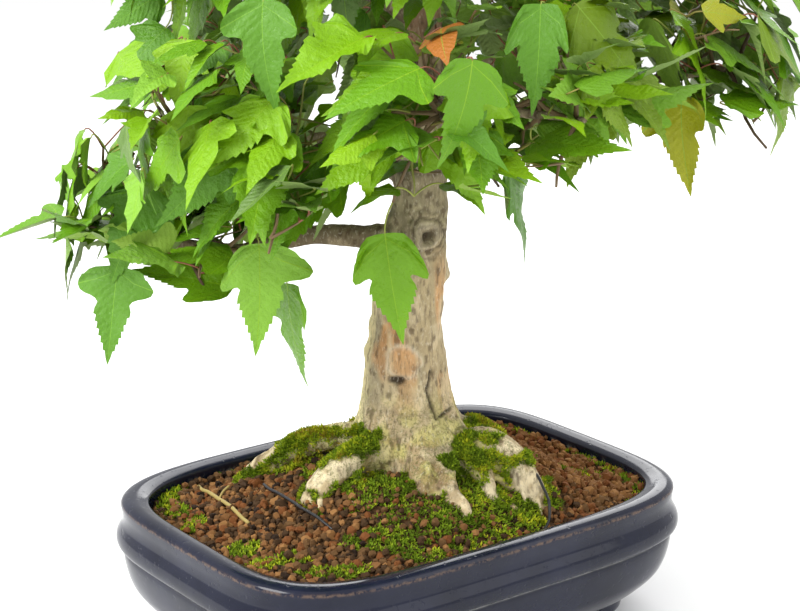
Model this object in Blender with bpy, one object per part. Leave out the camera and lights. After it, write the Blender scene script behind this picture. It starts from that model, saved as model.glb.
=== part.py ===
"""Trident maple bonsai, 0.5 m tall, growing in a rounded oblong glazed pot.

The pot, its fill of clay grit, the trunk with its surface roots, twelve boughs and thirteen masses of
three-lobed leaves are separate closed solids. The long side of the pot runs along X and Z is up. The
foot of the pot stands on Z = 0, and the whole plant is centred on the origin in plan.
"""

import math
import random

import bmesh
import bpy
from mathutils import Matrix, Quaternion, Vector, noise
from mathutils.bvhtree import BVHTree

MM = 0.001
GAP = 0.3 * MM  # clearance between neighbouring solids
UP = Vector((0, 0, 1))

# Pot
POT_LENGTH = 300 * MM
POT_WIDTH = 225 * MM
POT_HEIGHT = 80 * MM
POT_SQUARENESS = 4.4  # exponent of the rounded oblong outline
POT_SIDES = 48
POT_FLOOR_Z = 17 * MM
FOOT_HEIGHT = 9 * MM
FOOT_INSET = 24 * MM
FOOT_WALL = 13 * MM
FOOT_SPAN = 46 * MM  # how far a corner foot runs along the pot's side
DRAIN_RADIUS = 11 * MM
DRAIN_SPACING = 130 * MM
DRAIN_SIDES = 16
# (inset from the rim's outer edge, drop below the rim's top), from the inner floor over the lip to the base
POT_INNER_WALL = ((30, 63), (17, 52), (13.2, 12), (14.2, 2.5), (12, 0.4))
WALL_INSET = 13.2  # of the inner wall, where the grit meets it
POT_OUTER_WALL = ((7.5, 0), (2.6, 0.7), (0.4, 3), (0.9, 12), (-0.8, 18), (-2.3, 23), (-1.4, 28), (1.1, 31),
                  (2.4, 44), (5, 52), (10.5, 60), (22, 71))

# Fill of clay grit, heaped towards the trunk
SOIL_EDGE_DROP = 12  # below the rim's top, where the grit meets the inner wall
SOIL_TOP_Z = 96 * MM
SOIL_FLAT_RADIUS = 34 * MM
SOIL_RINGS = 8
SOIL_RIPPLE = 1.6 * MM
# Moss cushions on the grit: (right, near, half lengths both ways, rise) in mm, seen along VIEW_BEARING
CUSHIONS = ((-60, -22, 25, 22, 4.5), (-38, -30, 20, 24, 6.0), (-31, -4, 17, 12, 5.0), (56, -66, 19, 27, 4.0),
            (70, -40, 12, 12, 3.0), (52, 40, 33, 13, 2.8), (10, -86, 34, 16, 4.0), (-20, -70, 22, 14, 3.5))

# Trunk: where it stands on the pot, and (height over the soil, lean across, radius) up its length
VIEW_BEARING = -37.0  # the trunk leans and the crown spreads most along this bearing, in degrees from X
TRUNK_FOOT = 14 * MM, -4 * MM
TRUNK_STATIONS = ((-6, 0, 39.5), (4, -1, 36), (12, -4, 32.5), (22, -6, 29.5), (33, -9, 26.2), (46, -10, 23.8),
                  (62, -10, 22.2), (80, -10, 20.9), (100, -9, 20.5), (116, -7, 20.0), (130, -6, 17.6),
                  (146, -3, 15.2), (165, -1, 13.6), (190, 0, 12.2), (215, 0, 10.6), (245, 1, 9.0),
                  (280, 0, 7.4), (315, -2, 5.6), (338, -2, 4.4))
TRUNK_SIDES = 20
FLARE_HEIGHT = 42 * MM
FLARE_DEPTH = 0.34

# Surface roots: (name, bearing, reach from the trunk's axis, radius, knuckle height over the soil)
ROOTS = (("left", 134, 116, 8.0, 10.0), ("front_left", 177, 78, 10.0, 9.0), ("front", 230, 52, 7.0, 3.0),
         ("front_right", 252, 62, 6.5, 5.0), ("right_front", 275, 64, 6.0, 5.0), ("right", 300, 79, 11.0, 8.0),
         ("back_right", 352, 62, 7.0, 7.0), ("back", 53, 66, 8.0, 3.0), ("back_left", 96, 70, 8.0, 4.0))
ROOT_SINK = 9  # mm
ROOT_STEPS = 5

# Boughs: (name, bearing, height over the soil, reach, rise at its end, arch half way, root and tip radius)
BOUGHS = (
    ("low_left", 152, 128, 92, 2, 5, 8.2, 4.6),
    ("left_front", 178, 180, 74, 10, 6, 6.8, 4.0),
    ("front", 238, 218, 56, 8, 6, 5.8, 3.6),
    ("front_right", 274, 198, 60, 16, 7, 6.0, 3.6),
    ("low_right", -35, 212, 102, 8, 16, 7.4, 4.2),
    ("back_right", 10, 190, 66, 22, 6, 6.2, 3.8),
    ("back", 56, 174, 62, 22, 6, 5.8, 3.6),
    ("back_left", 102, 156, 74, 24, 7, 6.4, 3.8),
    ("upper_left", 140, 250, 56, 24, 4, 4.8, 3.0),
    ("upper_front", 214, 262, 44, 26, 4, 4.4, 2.8),
    ("upper_right", -28, 266, 56, 24, 4, 4.6, 3.0),
    ("upper_back", 48, 280, 46, 22, 4, 4.2, 2.8),
)
BOUGH_STEPS = 7

# Masses: (bough each grows from, how far its centre lies past the bough's tip and above it,
#          half sizes outward, across and up, leaves, seed)
MASSES = (
    ("low_left", 50, 2, 80, 80, 70, 31, 3),
    ("left_front", 42, -8, 72, 72, 68, 27, 11),
    ("front", 40, -12, 68, 66, 68, 20, 5),
    ("front_right", 40, -4, 66, 62, 62, 18, 8),
    ("low_right", 50, 2, 70, 74, 66, 27, 21),
    ("back_right", 44, 6, 74, 70, 62, 22, 13),
    ("back", 42, 10, 70, 70, 64, 19, 17),
    ("back_left", 46, 16, 74, 72, 66, 22, 19),
    ("upper_left", 44, 14, 70, 74, 62, 21, 23),
    ("upper_front", 36, 12, 66, 68, 62, 18, 29),
    ("upper_right", 44, 10, 70, 72, 62, 21, 31),
    ("upper_back", 36, 8, 66, 68, 60, 18, 37),
    ("apex", 0, 22, 86, 82, 52, 23, 41),
)

# Leaf, twig and stalk
LEAF_LENGTH = 63 * MM
LEAF_THICKNESS = 1.5 * MM
# half outline of the blade as shares of its length, from the stalk to the tip: (across, along, sag)
LEAF_HALF = ((0.43, 0.33, 0.05), (0.19, 0.40, 0.0))
LEAF_TIP_SAG = 0.14
LEAF_MIDDLE = 0.32
LEAF_SPACING = 0.26  # between the middles of two leaves, in leaf lengths
LEAF_TRIES = 14
STALK_LENGTH = 22 * MM
STALK_RADIUS = 0.7 * MM
TWIG_RADIUS = 1.9 * MM
TWIG_TIP_RADIUS = 1.7 * MM
TWIG_OVERRUN = 2.5 * MM  # past its last leaves
TWIG_TRIES = 320
STEM_RADIUS = 3.4 * MM
LIMB_CLEARANCE = 1.5 * MM
LEAF_CLEARANCE = 0.5 * MM  # kept between a new leaf and all that has grown
SPACE_REACH = 1.05  # how far leaves may go, in shares of a mass's half sizes
SPACE_MARGIN = 0.025  # kept from the next mass, in the same shares
GOLDEN_ANGLE = math.radians(137.5)

# Large leaves that hang from the hem: (mass, stalk end and tip of each, as right, near and up in mm,
#                                       and how far the blade is turned about its length, in degrees)
HANGING = (
    ("low_left", (-75, 66, 241), (-72, 80, 182), 0),
    ("low_left", (-61, 54, 216), (-57, 62, 156), 50),
    ("low_left", (-98, 40, 254), (-114, 52, 189), 62),
    ("low_left", (-153, 48, 224), (-160, 62, 172), 15),
    ("low_left", (-134, 44, 267), (-161, 60, 218), -10),
    ("left_front", (-88, 98, 301), (-119, 116, 258), 0),
    ("upper_front", (-68, 100, 374), (-73, 122, 323), 10),
    ("front", (-8, 72, 248), (-1, 86, 190), 0),
    ("front", (0, 84, 315), (-46, 104, 285), 10),
    ("front", (19, 70, 303), (44, 88, 264), 0),
    ("front_right", (48, 60, 313), (88, 76, 278), -10),
    ("front_right", (70, 100, 372), (67, 124, 323), 10),
    ("front_right", (89, 84, 370), (129, 100, 326), -10),
    ("low_right", (104, 22, 315), (92, 34, 264), 30),
    ("low_right", (60, 8, 268), (78, 16, 215), -60),
    ("low_right", (152, 30, 314), (148, 42, 262), 40),
)


def clear_scene():
    for obj in list(bpy.data.objects):
        bpy.data.objects.remove(obj, do_unlink=True)


def collection(name):
    found = bpy.data.collections.new(name)
    bpy.context.scene.collection.children.link(found)
    return found


def material(name, colour, roughness):
    made = bpy.data.materials.new(name)
    made.use_nodes = True
    shader = made.node_tree.nodes["Principled BSDF"]
    shader.inputs["Base Color"].default_value = (*colour, 1.0)
    shader.inputs["Roughness"].default_value = roughness
    return made


def add_object(name, mesh, finish, where):
    obj = bpy.data.objects.new(name, mesh)
    if finish is not None:
        mesh.materials.clear()
        mesh.materials.append(finish)
    where.objects.link(obj)
    return obj


def along_bearing(degrees):
    return Vector((math.cos(math.radians(degrees)), math.sin(math.radians(degrees)), 0))


def foot_point(height):
    return Vector((*TRUNK_FOOT, height))


def view_point(right, near, up):
    """Point given in mm to the right of the pot's middle, nearer than it and over the ground."""
    return (along_bearing(VIEW_BEARING) * right + along_bearing(VIEW_BEARING - 90) * near + UP * up) * MM


def square_to(vector, heading):
    """The part of a vector that lies square to a heading, as a unit vector."""
    return (vector - heading * vector.dot(heading)).normalized()


def smooth(t):
    t = min(1.0, max(0.0, t))
    return t * t * (3 - 2 * t)


# ---------------------------------------------------------------- lofted shapes


def loft(name, rings):
    """Mesh of quads between rings of equally many points, closed by a flat face at both ends."""
    bm = bmesh.new()
    layers = [[bm.verts.new(point) for point in ring] for ring in rings]
    count = len(layers[0])
    for lower, upper in zip(layers, layers[1:]):
        for i in range(count):
            j = (i + 1) % count
            bm.faces.new((lower[i], lower[j], upper[j], upper[i]))
    bm.faces.new(list(reversed(layers[0])))
    bm.faces.new(layers[-1])
    bmesh.ops.recalc_face_normals(bm, faces=bm.faces)
    mesh = bpy.data.meshes.new(name)
    bm.to_mesh(mesh)
    bm.free()
    return mesh


def pot_outline(angle, inset):
    """Point of the rounded oblong at a polar angle: the superellipse of the pot's sides, less an inset."""
    half_x = POT_LENGTH / 2 - inset
    half_y = POT_WIDTH / 2 - inset
    c, s = abs(math.cos(angle)), abs(math.sin(angle))
    radius = ((c / half_x) ** POT_SQUARENESS + (s / half_y) ** POT_SQUARENESS) ** (-1 / POT_SQUARENESS)
    return Vector((radius * math.cos(angle), radius * math.sin(angle), 0))


def pot_ring(inset, z):
    return [pot_outline(2 * math.pi * i / POT_SIDES, inset) + UP * z for i in range(POT_SIDES)]


def apply_boolean(obj, operation, operand, solver="EXACT"):
    """Boolean of obj with another object or a collection, applied, with the operands then removed."""
    modifier = obj.modifiers.new(operation.lower(), "BOOLEAN")
    modifier.operation = operation
    modifier.solver = solver
    if isinstance(operand, bpy.types.Collection):
        modifier.operand_type = "COLLECTION"
        modifier.collection = operand
        used = list(operand.objects)
    else:
        modifier.object = operand
        used = [operand]
    bpy.context.view_layer.update()
    evaluated = obj.evaluated_get(bpy.context.evaluated_depsgraph_get())
    result = bpy.data.meshes.new_from_object(evaluated)
    obj.modifiers.clear()
    finish = obj.data.materials[0] if obj.data.materials else None
    obj.data = result
    result.materials.clear()
    if finish is not None:
        result.materials.append(finish)
    for other in used:
        bpy.data.objects.remove(other, do_unlink=True)
    return obj


def box(name, size, centre, where):
    bm = bmesh.new()
    bmesh.ops.create_cube(bm, size=1.0)
    bmesh.ops.scale(bm, verts=bm.verts, vec=size)
    bmesh.ops.translate(bm, verts=bm.verts, vec=centre)
    mesh = bpy.data.meshes.new(name)
    bm.to_mesh(mesh)
    bm.free()
    return add_object(name, mesh, None, where)


def corner_feet(where):
    """Foot ring under the pot, cut through the middle of each side so that four corner feet are left."""
    top = FOOT_HEIGHT + 3 * MM
    ring = add_object("feet", loft("feet", [pot_ring(FOOT_INSET, 0), pot_ring(FOOT_INSET, top)]), None, where)
    inner_inset = FOOT_INSET + FOOT_WALL
    hollow = loft("foot_hollow", [pot_ring(inner_inset, -MM), pot_ring(inner_inset, top + MM)])
    apply_boolean(ring, "DIFFERENCE", add_object("foot_hollow", hollow, None, where))
    slot_x = POT_LENGTH - 2 * (FOOT_INSET + FOOT_SPAN)
    slot_y = POT_WIDTH - 2 * (FOOT_INSET + FOOT_SPAN)
    for size in ((slot_x, POT_WIDTH, 4 * top), (POT_LENGTH, slot_y, 4 * top)):
        apply_boolean(ring, "DIFFERENCE", box("foot_slot", size, (0, 0, 0), where))
    return ring


def build_pot(where, helpers, finish):
    rings = [pot_ring(inset * MM, POT_HEIGHT - drop * MM) for inset, drop in POT_INNER_WALL + POT_OUTER_WALL]
    pot = add_object("pot", loft("pot", rings), finish, where)
    apply_boolean(pot, "UNION", corner_feet(helpers))
    for side in (-1, 1):
        bm = bmesh.new()
        bmesh.ops.create_cone(bm, cap_ends=True, segments=DRAIN_SIDES, radius1=DRAIN_RADIUS,
                              radius2=DRAIN_RADIUS, depth=6 * FOOT_HEIGHT)
        bmesh.ops.translate(bm, verts=bm.verts, vec=(side * DRAIN_SPACING / 2, 0, FOOT_HEIGHT))
        mesh = bpy.data.meshes.new("drain")
        bm.to_mesh(mesh)
        bm.free()
        apply_boolean(pot, "DIFFERENCE", add_object("drain", mesh, None, helpers))
    pot.data.shade_smooth()
    pot.data.set_sharp_from_angle(angle=math.radians(40))
    return pot


# ---------------------------------------------------------------- soil


def heap_height(share):
    """Height of the heap from its flat top, at share 0, to the pot's wall, at share 1."""
    edge = POT_HEIGHT - SOIL_EDGE_DROP * MM
    share = min(1.0, max(0.0, share))
    return SOIL_TOP_Z + (edge - SOIL_TOP_Z) * smooth(share * 0.9 + 0.1 * math.sqrt(share))


def cushion_rise(p):
    """Height of the moss over the heap under a point: the highest dome of the cushions there."""
    right = p.dot(along_bearing(VIEW_BEARING)) / MM
    near = p.dot(along_bearing(VIEW_BEARING - 90)) / MM
    domes = [rise * (1 - ((right - x) / half_x) ** 2 - ((near - y) / half_y) ** 2)
             for x, y, half_x, half_y, rise in CUSHIONS]
    return max(0.0, *domes) * MM


def soil_ring(share, lift, outset):
    """Ring of the heap's top: the foot's flat round grows into the outline of the pot's wall."""
    ring = []
    for i in range(POT_SIDES):
        angle = 2 * math.pi * i / POT_SIDES
        inner = foot_point(0) + SOIL_FLAT_RADIUS * Vector((math.cos(angle), math.sin(angle), 0))
        p = inner.lerp(pot_outline(angle, WALL_INSET * MM + GAP), share)
        ripple = SOIL_RIPPLE * math.sin(math.pi * share) * noise.noise(p * 28)
        moss = cushion_rise(p) * smooth((1 - share) / 0.15)
        if share == 1:
            p = pot_outline(angle, WALL_INSET * MM + GAP - outset)
        ring.append(Vector((p.x, p.y, heap_height(share) + ripple + moss + lift)))
    return ring


def soil_mesh(name, sides, lift=0.0, outset=0.0):
    """The sides, closed by the heap's top, in triangles that run alike in the soil and in its cutter."""
    top = [soil_ring(1 - k / SOIL_RINGS, lift, outset) for k in range(SOIL_RINGS + 1)]
    mesh = loft(name, sides + top)
    bm = bmesh.new()
    bm.from_mesh(mesh)
    bmesh.ops.triangulate(bm, faces=bm.faces, quad_method="FIXED")
    bm.to_mesh(mesh)
    bm.free()
    return mesh


def build_soil(where, finish):
    wall = [row for row in POT_INNER_WALL if row[1] > SOIL_EDGE_DROP]
    sides = [pot_ring(inset * MM + GAP, POT_HEIGHT - drop * MM + GAP) for inset, drop in wall]
    return add_object("soil", soil_mesh("soil", sides), finish, where)


def soil_cutter(helpers):
    """The same heap raised by the clearance, which trims the foot of the trunk to the ground."""
    outset = 5 * MM
    bottom = [Vector((p.x, p.y, POT_FLOOR_Z)) for p in soil_ring(1, 0, outset)]
    return add_object("soil_cutter", soil_mesh("soil_cutter", [bottom], GAP, outset), None, helpers)


# ---------------------------------------------------------------- limbs


def trunk_axis(height):
    """(centre, radius) of the trunk at a height over the soil, by straight lines between stations."""
    rows = TRUNK_STATIONS
    lean = along_bearing(VIEW_BEARING)
    for (h0, x0, r0), (h1, x1, r1) in zip(rows, rows[1:]):
        if height * 1000 <= h1 or h1 == rows[-1][0]:
            u = min(1.0, max(0.0, (height * 1000 - h0) / (h1 - h0)))
            centre = foot_point(SOIL_TOP_Z + height) + lean * (x0 + (x1 - x0) * u) * MM
            return centre, (r0 + (r1 - r0) * u) * MM


def flare(angle, height):
    """How much the trunk swells towards its roots: a hump over each root that dies away up the trunk."""
    fade = smooth(1 - max(0.0, height) / FLARE_HEIGHT)
    swell = 0.0
    for _, bearing, reach, _, _ in ROOTS:
        away = math.remainder(angle - math.radians(bearing), 2 * math.pi)
        swell += (reach / 80) * math.exp(-(away / 0.22) ** 2)
    return 1 + fade * FLARE_DEPTH * (swell - 0.35)


def trunk_rings(grow=0.0):
    rings = []
    for height, _, _ in TRUNK_STATIONS:
        centre, radius = trunk_axis(height * MM)
        ring = []
        for i in range(TRUNK_SIDES):
            angle = 2 * math.pi * i / TRUNK_SIDES
            wave = 1 + 0.035 * math.sin(2 * angle + height / 17) + 0.02 * math.sin(5 * angle - height / 23)
            reach = radius * wave * flare(angle, height * MM) + grow
            ring.append(centre + Vector((math.cos(angle), math.sin(angle), 0)) * reach)
        rings.append(ring)
    if grow:
        rings.append([p + UP * grow for p in rings[-1]])
    return rings


def tube(name, points, radii, where, resolution=2, finish=None):
    """Mesh of a limb: a poly curve with its own radius at each point, filled caps welded on."""
    curve = bpy.data.curves.new(name, "CURVE")
    curve.dimensions = "3D"
    curve.bevel_depth = 1.0
    curve.bevel_resolution = resolution
    curve.use_fill_caps = True
    spline = curve.splines.new("POLY")
    spline.points.add(len(points) - 1)
    for knot, place, radius in zip(spline.points, points, radii):
        knot.co = (*place, 1.0)
        knot.radius = radius
    guide = bpy.data.objects.new(name + "_guide", curve)
    where.objects.link(guide)
    bpy.context.view_layer.update()
    mesh = bpy.data.meshes.new_from_object(guide.evaluated_get(bpy.context.evaluated_depsgraph_get()))
    bpy.data.objects.remove(guide, do_unlink=True)
    bpy.data.curves.remove(curve)
    bm = bmesh.new()
    bm.from_mesh(mesh)
    bmesh.ops.remove_doubles(bm, verts=bm.verts, dist=0.02 * MM)
    bmesh.ops.recalc_face_normals(bm, faces=bm.faces)
    bm.to_mesh(mesh)
    bm.free()
    mesh.name = name
    return add_object(name, mesh, finish, where)


def ground_height(p):
    """Height of the heap under a point, without its ripple."""
    away = p - foot_point(p.z)
    angle = math.atan2(away.y, away.x)
    wall = (pot_outline(angle, WALL_INSET * MM) - foot_point(0)).length
    return heap_height((away.length - SOIL_FLAT_RADIUS) / (wall - SOIL_FLAT_RADIUS))


def root_path(bearing, reach, radius, knuckle):
    """Points and radii of a surface root: out of the flare, over a knuckle, then down into the grit."""
    out, side = along_bearing(bearing), along_bearing(bearing + 90)
    inner = 18
    points, radii = [], []
    for k in range(ROOT_STEPS + 1):
        t = k / ROOT_STEPS
        sway = math.sin(t * math.pi * 1.6 + bearing) * 4 * t
        p = foot_point(0) + (out * (inner + (reach - inner) * t) + side * sway) * MM
        lift = (1 - t) * 12 + math.sin(math.pi * t) * knuckle - smooth((t - 0.7) / 0.3) * ROOT_SINK
        points.append(p + UP * (ground_height(p) + (lift - radius * 0.55) * MM))
        radii.append(radius * MM * (1.25 - 0.45 * t + 0.18 * math.sin(7 * t + bearing)))
    return points, radii


def build_trunk(where, helpers, finish):
    trunk = add_object("trunk", loft("trunk", trunk_rings()), finish, where)
    roots = collection("roots")
    for name, bearing, reach, radius, knuckle in ROOTS:
        points, radii = root_path(bearing, reach, radius, knuckle)
        tube("root_" + name, points, radii, roots, resolution=1)
    apply_boolean(trunk, "UNION", roots)
    bpy.data.collections.remove(roots)
    apply_boolean(trunk, "DIFFERENCE", soil_cutter(helpers))
    trunk.data.shade_smooth()
    return trunk


def bough_path(row):
    """(points, radii) of a bough from inside the trunk to its tip, with an arch and a slight sway."""
    _, bearing, height, reach, rise, arch, thick, thin = row
    start, _ = trunk_axis(height * MM)
    out, side = along_bearing(bearing), along_bearing(bearing + 90)
    points, radii = [], []
    for k in range(BOUGH_STEPS + 1):
        t = k / BOUGH_STEPS
        sway = math.sin(t * math.pi * 2 + bearing) * 4 * MM * smooth(t * 1.4)
        up = rise * t + arch * math.sin(math.pi * t)
        points.append(start + out * reach * t * MM + side * sway + UP * up * MM)
        radii.append((thin + (thick - thin) * (1 - t) ** 1.4 + 2.2 * (1 - t) ** 8) * MM)
    return points, radii


def build_boughs(where, helpers, finish):
    for row in BOUGHS:
        points, radii = bough_path(row)
        bough = tube("bough_" + row[0], points, radii, where, resolution=1, finish=finish)
        cutter = add_object("trunk_cutter", loft("trunk_cutter", trunk_rings(grow=GAP)), None, helpers)
        apply_boolean(bough, "DIFFERENCE", cutter)
        bough.data.shade_smooth()


# ---------------------------------------------------------------- masses of leaves


class Space:
    """The room of one mass: an ellipsoid past its bough's tip, out to where a neighbour's is nearer."""

    def __init__(self, row):
        self.name, past, rise, out_half, side_half, up_half, self.leaves, self.seed = row
        if self.name == "apex":
            top = TRUNK_STATIONS[-1]
            tip, self.tip_radius = trunk_axis(top[0] * MM)
            bearing, self.heading = VIEW_BEARING, UP
        else:
            bough = next(r for r in BOUGHS if r[0] == self.name)
            points, radii = bough_path(bough)
            tip, self.tip_radius, bearing = points[-1], radii[-1], bough[1]
            self.heading = (tip - points[-2]).normalized()
        self.out = along_bearing(bearing)
        self.side = along_bearing(bearing + 90)
        self.entry = tip + self.heading * GAP
        self.centre = tip + (self.out * past + UP * rise) * MM
        self.half = Vector((out_half, side_half, up_half)) * MM

    def measure(self, p):
        """Distance of a point from the room's centre in shares of its half sizes: 1 on its skin."""
        d = p - self.centre
        return Vector((d.dot(self.out) / self.half.x, d.dot(self.side) / self.half.y, d.z / self.half.z)).length

    def place(self, out, side, up):
        return self.centre + self.out * out * self.half.x + self.side * side * self.half.y + UP * up * self.half.z


def in_room(p, space, spaces):
    here = space.measure(p)
    return here < SPACE_REACH and all(other is space or other.measure(p) > here + SPACE_MARGIN for other in spaces)


def along(path, share):
    span = share * (len(path) - 1)
    i = min(int(span), len(path) - 2)
    return path[i].lerp(path[i + 1], span - i)


def three_sided(path, radii):
    """(points, faces) of a tapering three-sided twig along a path, closed at both ends."""
    points, faces = [], []
    side = UP if abs((path[1] - path[0]).normalized().z) < 0.9 else Vector((1, 0, 0))
    for k, (p, radius) in enumerate(zip(path, radii)):
        run = (path[min(k + 1, len(path) - 1)] - path[max(k - 1, 0)]).normalized()
        side = square_to(side, run)
        across = run.cross(side)
        for corner in range(3):
            turn = 2 * math.pi * corner / 3
            points.append(p + (side * math.cos(turn) + across * math.sin(turn)) * radius)
        if k:
            low, high = 3 * k - 3, 3 * k
            faces += [(low + c, low + (c + 1) % 3, high + (c + 1) % 3, high + c) for c in range(3)]
    last = len(points) - 3
    return points, faces + [(2, 1, 0), (last, last + 1, last + 2)]


def leaf_shape(node, base, heading, face, length, swell=0.0):
    """(points, faces) of one leaf: a three-sided stalk from node to base that opens into the blade.

    The blade is two fans about a raised and a lowered middle point. Its outline of two side lobes, two
    notches and the tip sags away from its upper face. Swell thickens it all, to test for clearance.
    """
    across = heading.cross(face)
    run = (base - node).normalized()
    right = square_to(across, run)
    up = right.cross(run)
    corners = [(right * x + up * y) * (STALK_RADIUS + swell) for x, y in ((0.87, -0.5), (0, 1), (-0.87, -0.5))]
    outline = [(x, y, sag) for x, y, sag in LEAF_HALF] + [(0, 1, LEAF_TIP_SAG)]
    outline += [(-x, y, sag) for x, y, sag in reversed(LEAF_HALF)]
    middle = base + heading * length * LEAF_MIDDLE
    half = face * (LEAF_THICKNESS / 2 + swell)
    points = [node + corner for corner in corners] + [base + corner for corner in corners]
    points += [base + (across * x + heading * y - face * sag) * length for x, y, sag in outline]
    points += [middle + half, middle - half]
    top, bottom = len(points) - 2, len(points) - 1
    rim = [3] + list(range(6, top)) + [5]
    faces = [(0, 1, 2), (0, 3, 4, 1), (1, 4, 5, 2), (2, 5, 3, 0), (3, 4, top), (4, 5, top), (5, 3, bottom)]
    for i, j in zip(rim, rim[1:]):
        faces += [(j, i, top), (i, j, bottom)]
    return points, faces


class Thicket:
    """What has grown so far, kept so that nothing new crosses it."""

    def __init__(self):
        self.points, self.faces = [], []
        self.tree = None

    def add(self, shape):
        first = len(self.points)
        self.points += shape[0]
        self.faces += [tuple(first + i for i in face) for face in shape[1]]
        self.tree = BVHTree.FromPolygons(self.points, self.faces)

    def touches(self, shape):
        return self.tree is not None and bool(self.tree.overlap(BVHTree.FromPolygons(*shape)))


def skin_of(rings):
    """(points, faces) of the open skin over rings of equally many points."""
    count = len(rings[0])
    faces = []
    for k in range(len(rings) - 1):
        low, high = k * count, (k + 1) * count
        faces += [(low + i, low + (i + 1) % count, high + (i + 1) % count, high + i) for i in range(count)]
    return [p for ring in rings for p in ring], faces


def limb_thicket():
    """The trunk and boughs, swollen by the clearance that leaves and twigs keep from them."""
    limbs = Thicket()
    limbs.add(skin_of(trunk_rings(grow=LIMB_CLEARANCE)))
    for row in BOUGHS:
        points, radii = bough_path(row)
        limbs.add(three_sided(points, [1.5 * (radius + LIMB_CLEARANCE) for radius in radii]))
    return limbs


def leaf_turn(base, space, rng):
    """Heading, upper face and length of a leaf at base: outward and drooping, more so low in the room."""
    outward = (base - foot_point(base.z)).normalized()
    height = (base.z - space.centre.z) / space.half.z
    droop = 0.95 - 0.35 * height + rng.uniform(-0.3, 0.3)
    jitter = Vector((rng.uniform(-1, 1), rng.uniform(-1, 1), rng.uniform(-0.4, 0.4))) * 0.5
    heading = (outward * 0.62 - UP * droop + jitter).normalized()
    face = outward * 0.8 + UP * 0.75 + Vector((rng.uniform(-1, 1), rng.uniform(-1, 1), 0)) * 0.45
    return heading, square_to(face, heading), LEAF_LENGTH * rng.uniform(0.72, 1.1)


class Mass:
    """One mass, grown by a seeded rule.

    A stem runs from its bough's tip into the room. Twigs leave the stem a golden angle apart and reach for
    the room's skin, and pairs of leaves leave each twig. What would leave the room or cross something
    is skipped. The large hanging leaves grow first and may reach below the room.
    """

    def __init__(self, space, spaces, limbs, blades):
        self.space, self.spaces = space, spaces
        self.limbs, self.blades, self.wood = limbs, blades, Thicket()
        self.others = []
        self.rng = random.Random(space.seed)
        self.twigs, self.leaves, self.middles = [], [], []
        ahead = space.place(0, 0, 0.5) if space.name == "apex" else space.place(0.4, 0, 0.1)
        start = space.entry + space.heading * 6 * MM
        self.stem = [space.entry, start] + [start.lerp(ahead, k / 3) for k in (1, 2, 3)]
        self.wood.add(three_sided(self.stem, [STEM_RADIUS] * 5))

    def clear_of_all(self, shape):
        trees = [self.limbs, self.blades] + [other.wood for other in self.others]
        return not any(tree.touches(shape) for tree in trees)

    def leaf_fits(self, node, base, heading, face, length):
        free = leaf_shape(node.lerp(base, 0.35), base, heading, face, length, swell=LEAF_CLEARANCE)
        return self.clear_of_all(free) and not self.wood.touches(free)

    def keep_leaf(self, node, base, heading, face, length):
        shape = leaf_shape(node, base, heading, face, length)
        self.blades.add(shape)
        self.leaves.append(shape)
        self.middles.append(base + heading * length * LEAF_MIDDLE)

    def inside(self, points):
        return all(in_room(p, self.space, self.spaces) for p in points)

    def crowded(self, middle):
        return any((middle - other).length < LEAF_SPACING * LEAF_LENGTH for other in self.middles)

    def try_leaf(self, node, base):
        """Grows a leaf from node whose blade starts at base, turned at random, if it fits."""
        heading, face, length = leaf_turn(base, self.space, self.rng)
        rim = leaf_shape(node, base, heading, face, length)[0][6:]
        probes = rim + [p.lerp(q, 0.5) for p, q in zip(rim, rim[1:])]
        if self.crowded(base + heading * length * LEAF_MIDDLE) or not self.inside(probes):
            return False
        if not self.leaf_fits(node, base, heading, face, length):
            return False
        self.keep_leaf(node, base, heading, face, length)
        return True

    def hang(self, base, tip, turn):
        """Grows a leaf of the hem from base to tip, on a twig of its own from the nearest place on the stem."""
        heading = (tip - base).normalized()
        face = square_to(along_bearing(VIEW_BEARING - 90) * 0.85 + UP * 0.45, heading)
        face.rotate(Quaternion(heading, math.radians(turn)))
        root = min((along(self.stem, k / 12) for k in range(4, 13)), key=lambda p: (p - base).length)
        node = base + ((root - base).normalized() * 0.8 + UP * 0.4).normalized() * STALK_LENGTH * 0.8
        blade = (heading, face, (tip - base).length)
        if not self.clear_of_all(twig_shape(root.lerp(node, 0.3), node)):
            return False
        if not self.leaf_fits(node, base, *blade):
            return False
        self.keep_leaf(node, base, *blade)
        self.keep_twig(root, node)
        return True

    def keep_twig(self, root, tip):
        shape = twig_shape(root, tip)
        self.twigs.append(shape)
        self.wood.add(shape)

    def grow(self):
        for attempt in range(TWIG_TRIES):
            if len(self.leaves) < self.space.leaves:
                self.grow_twig(attempt)

    def grow_twig(self, attempt):
        rng = self.rng
        root = along(self.stem, 0.3 + 0.7 * ((attempt * 0.382) % 1.0))
        azimuth = attempt * GOLDEN_ANGLE
        reach = rng.uniform(0.4, 0.92)
        goal = self.space.place(math.cos(azimuth) * reach, math.sin(azimuth) * reach, rng.uniform(-0.5, 0.8))
        free = [root.lerp(goal, share) for share in (0.2, 0.6, 1)]
        if not self.inside(free) or not self.clear_of_all(twig_shape(free[0], goal)):
            return
        before = len(self.leaves)
        run = (goal - root).normalized()
        across = run.cross(UP).normalized()
        self.keep_twig(root, goal)
        for place, side in ((1.0, -1), (1.0, 1), (0.78, -1), (0.78, 1), (0.56, -1), (0.56, 1), (0.34, -1), (0.34, 1)):
            node = root.lerp(goal, place)
            for _ in range(LEAF_TRIES):
                stalk = run * rng.uniform(0.2, 0.9) + across * side + UP * rng.uniform(-0.1, 0.8)
                base = node + stalk.normalized() * STALK_LENGTH * rng.uniform(0.6, 1.2)
                if len(self.leaves) >= self.space.leaves or self.try_leaf(node, base):
                    break
        if len(self.leaves) == before:
            self.twigs.pop()


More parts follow.
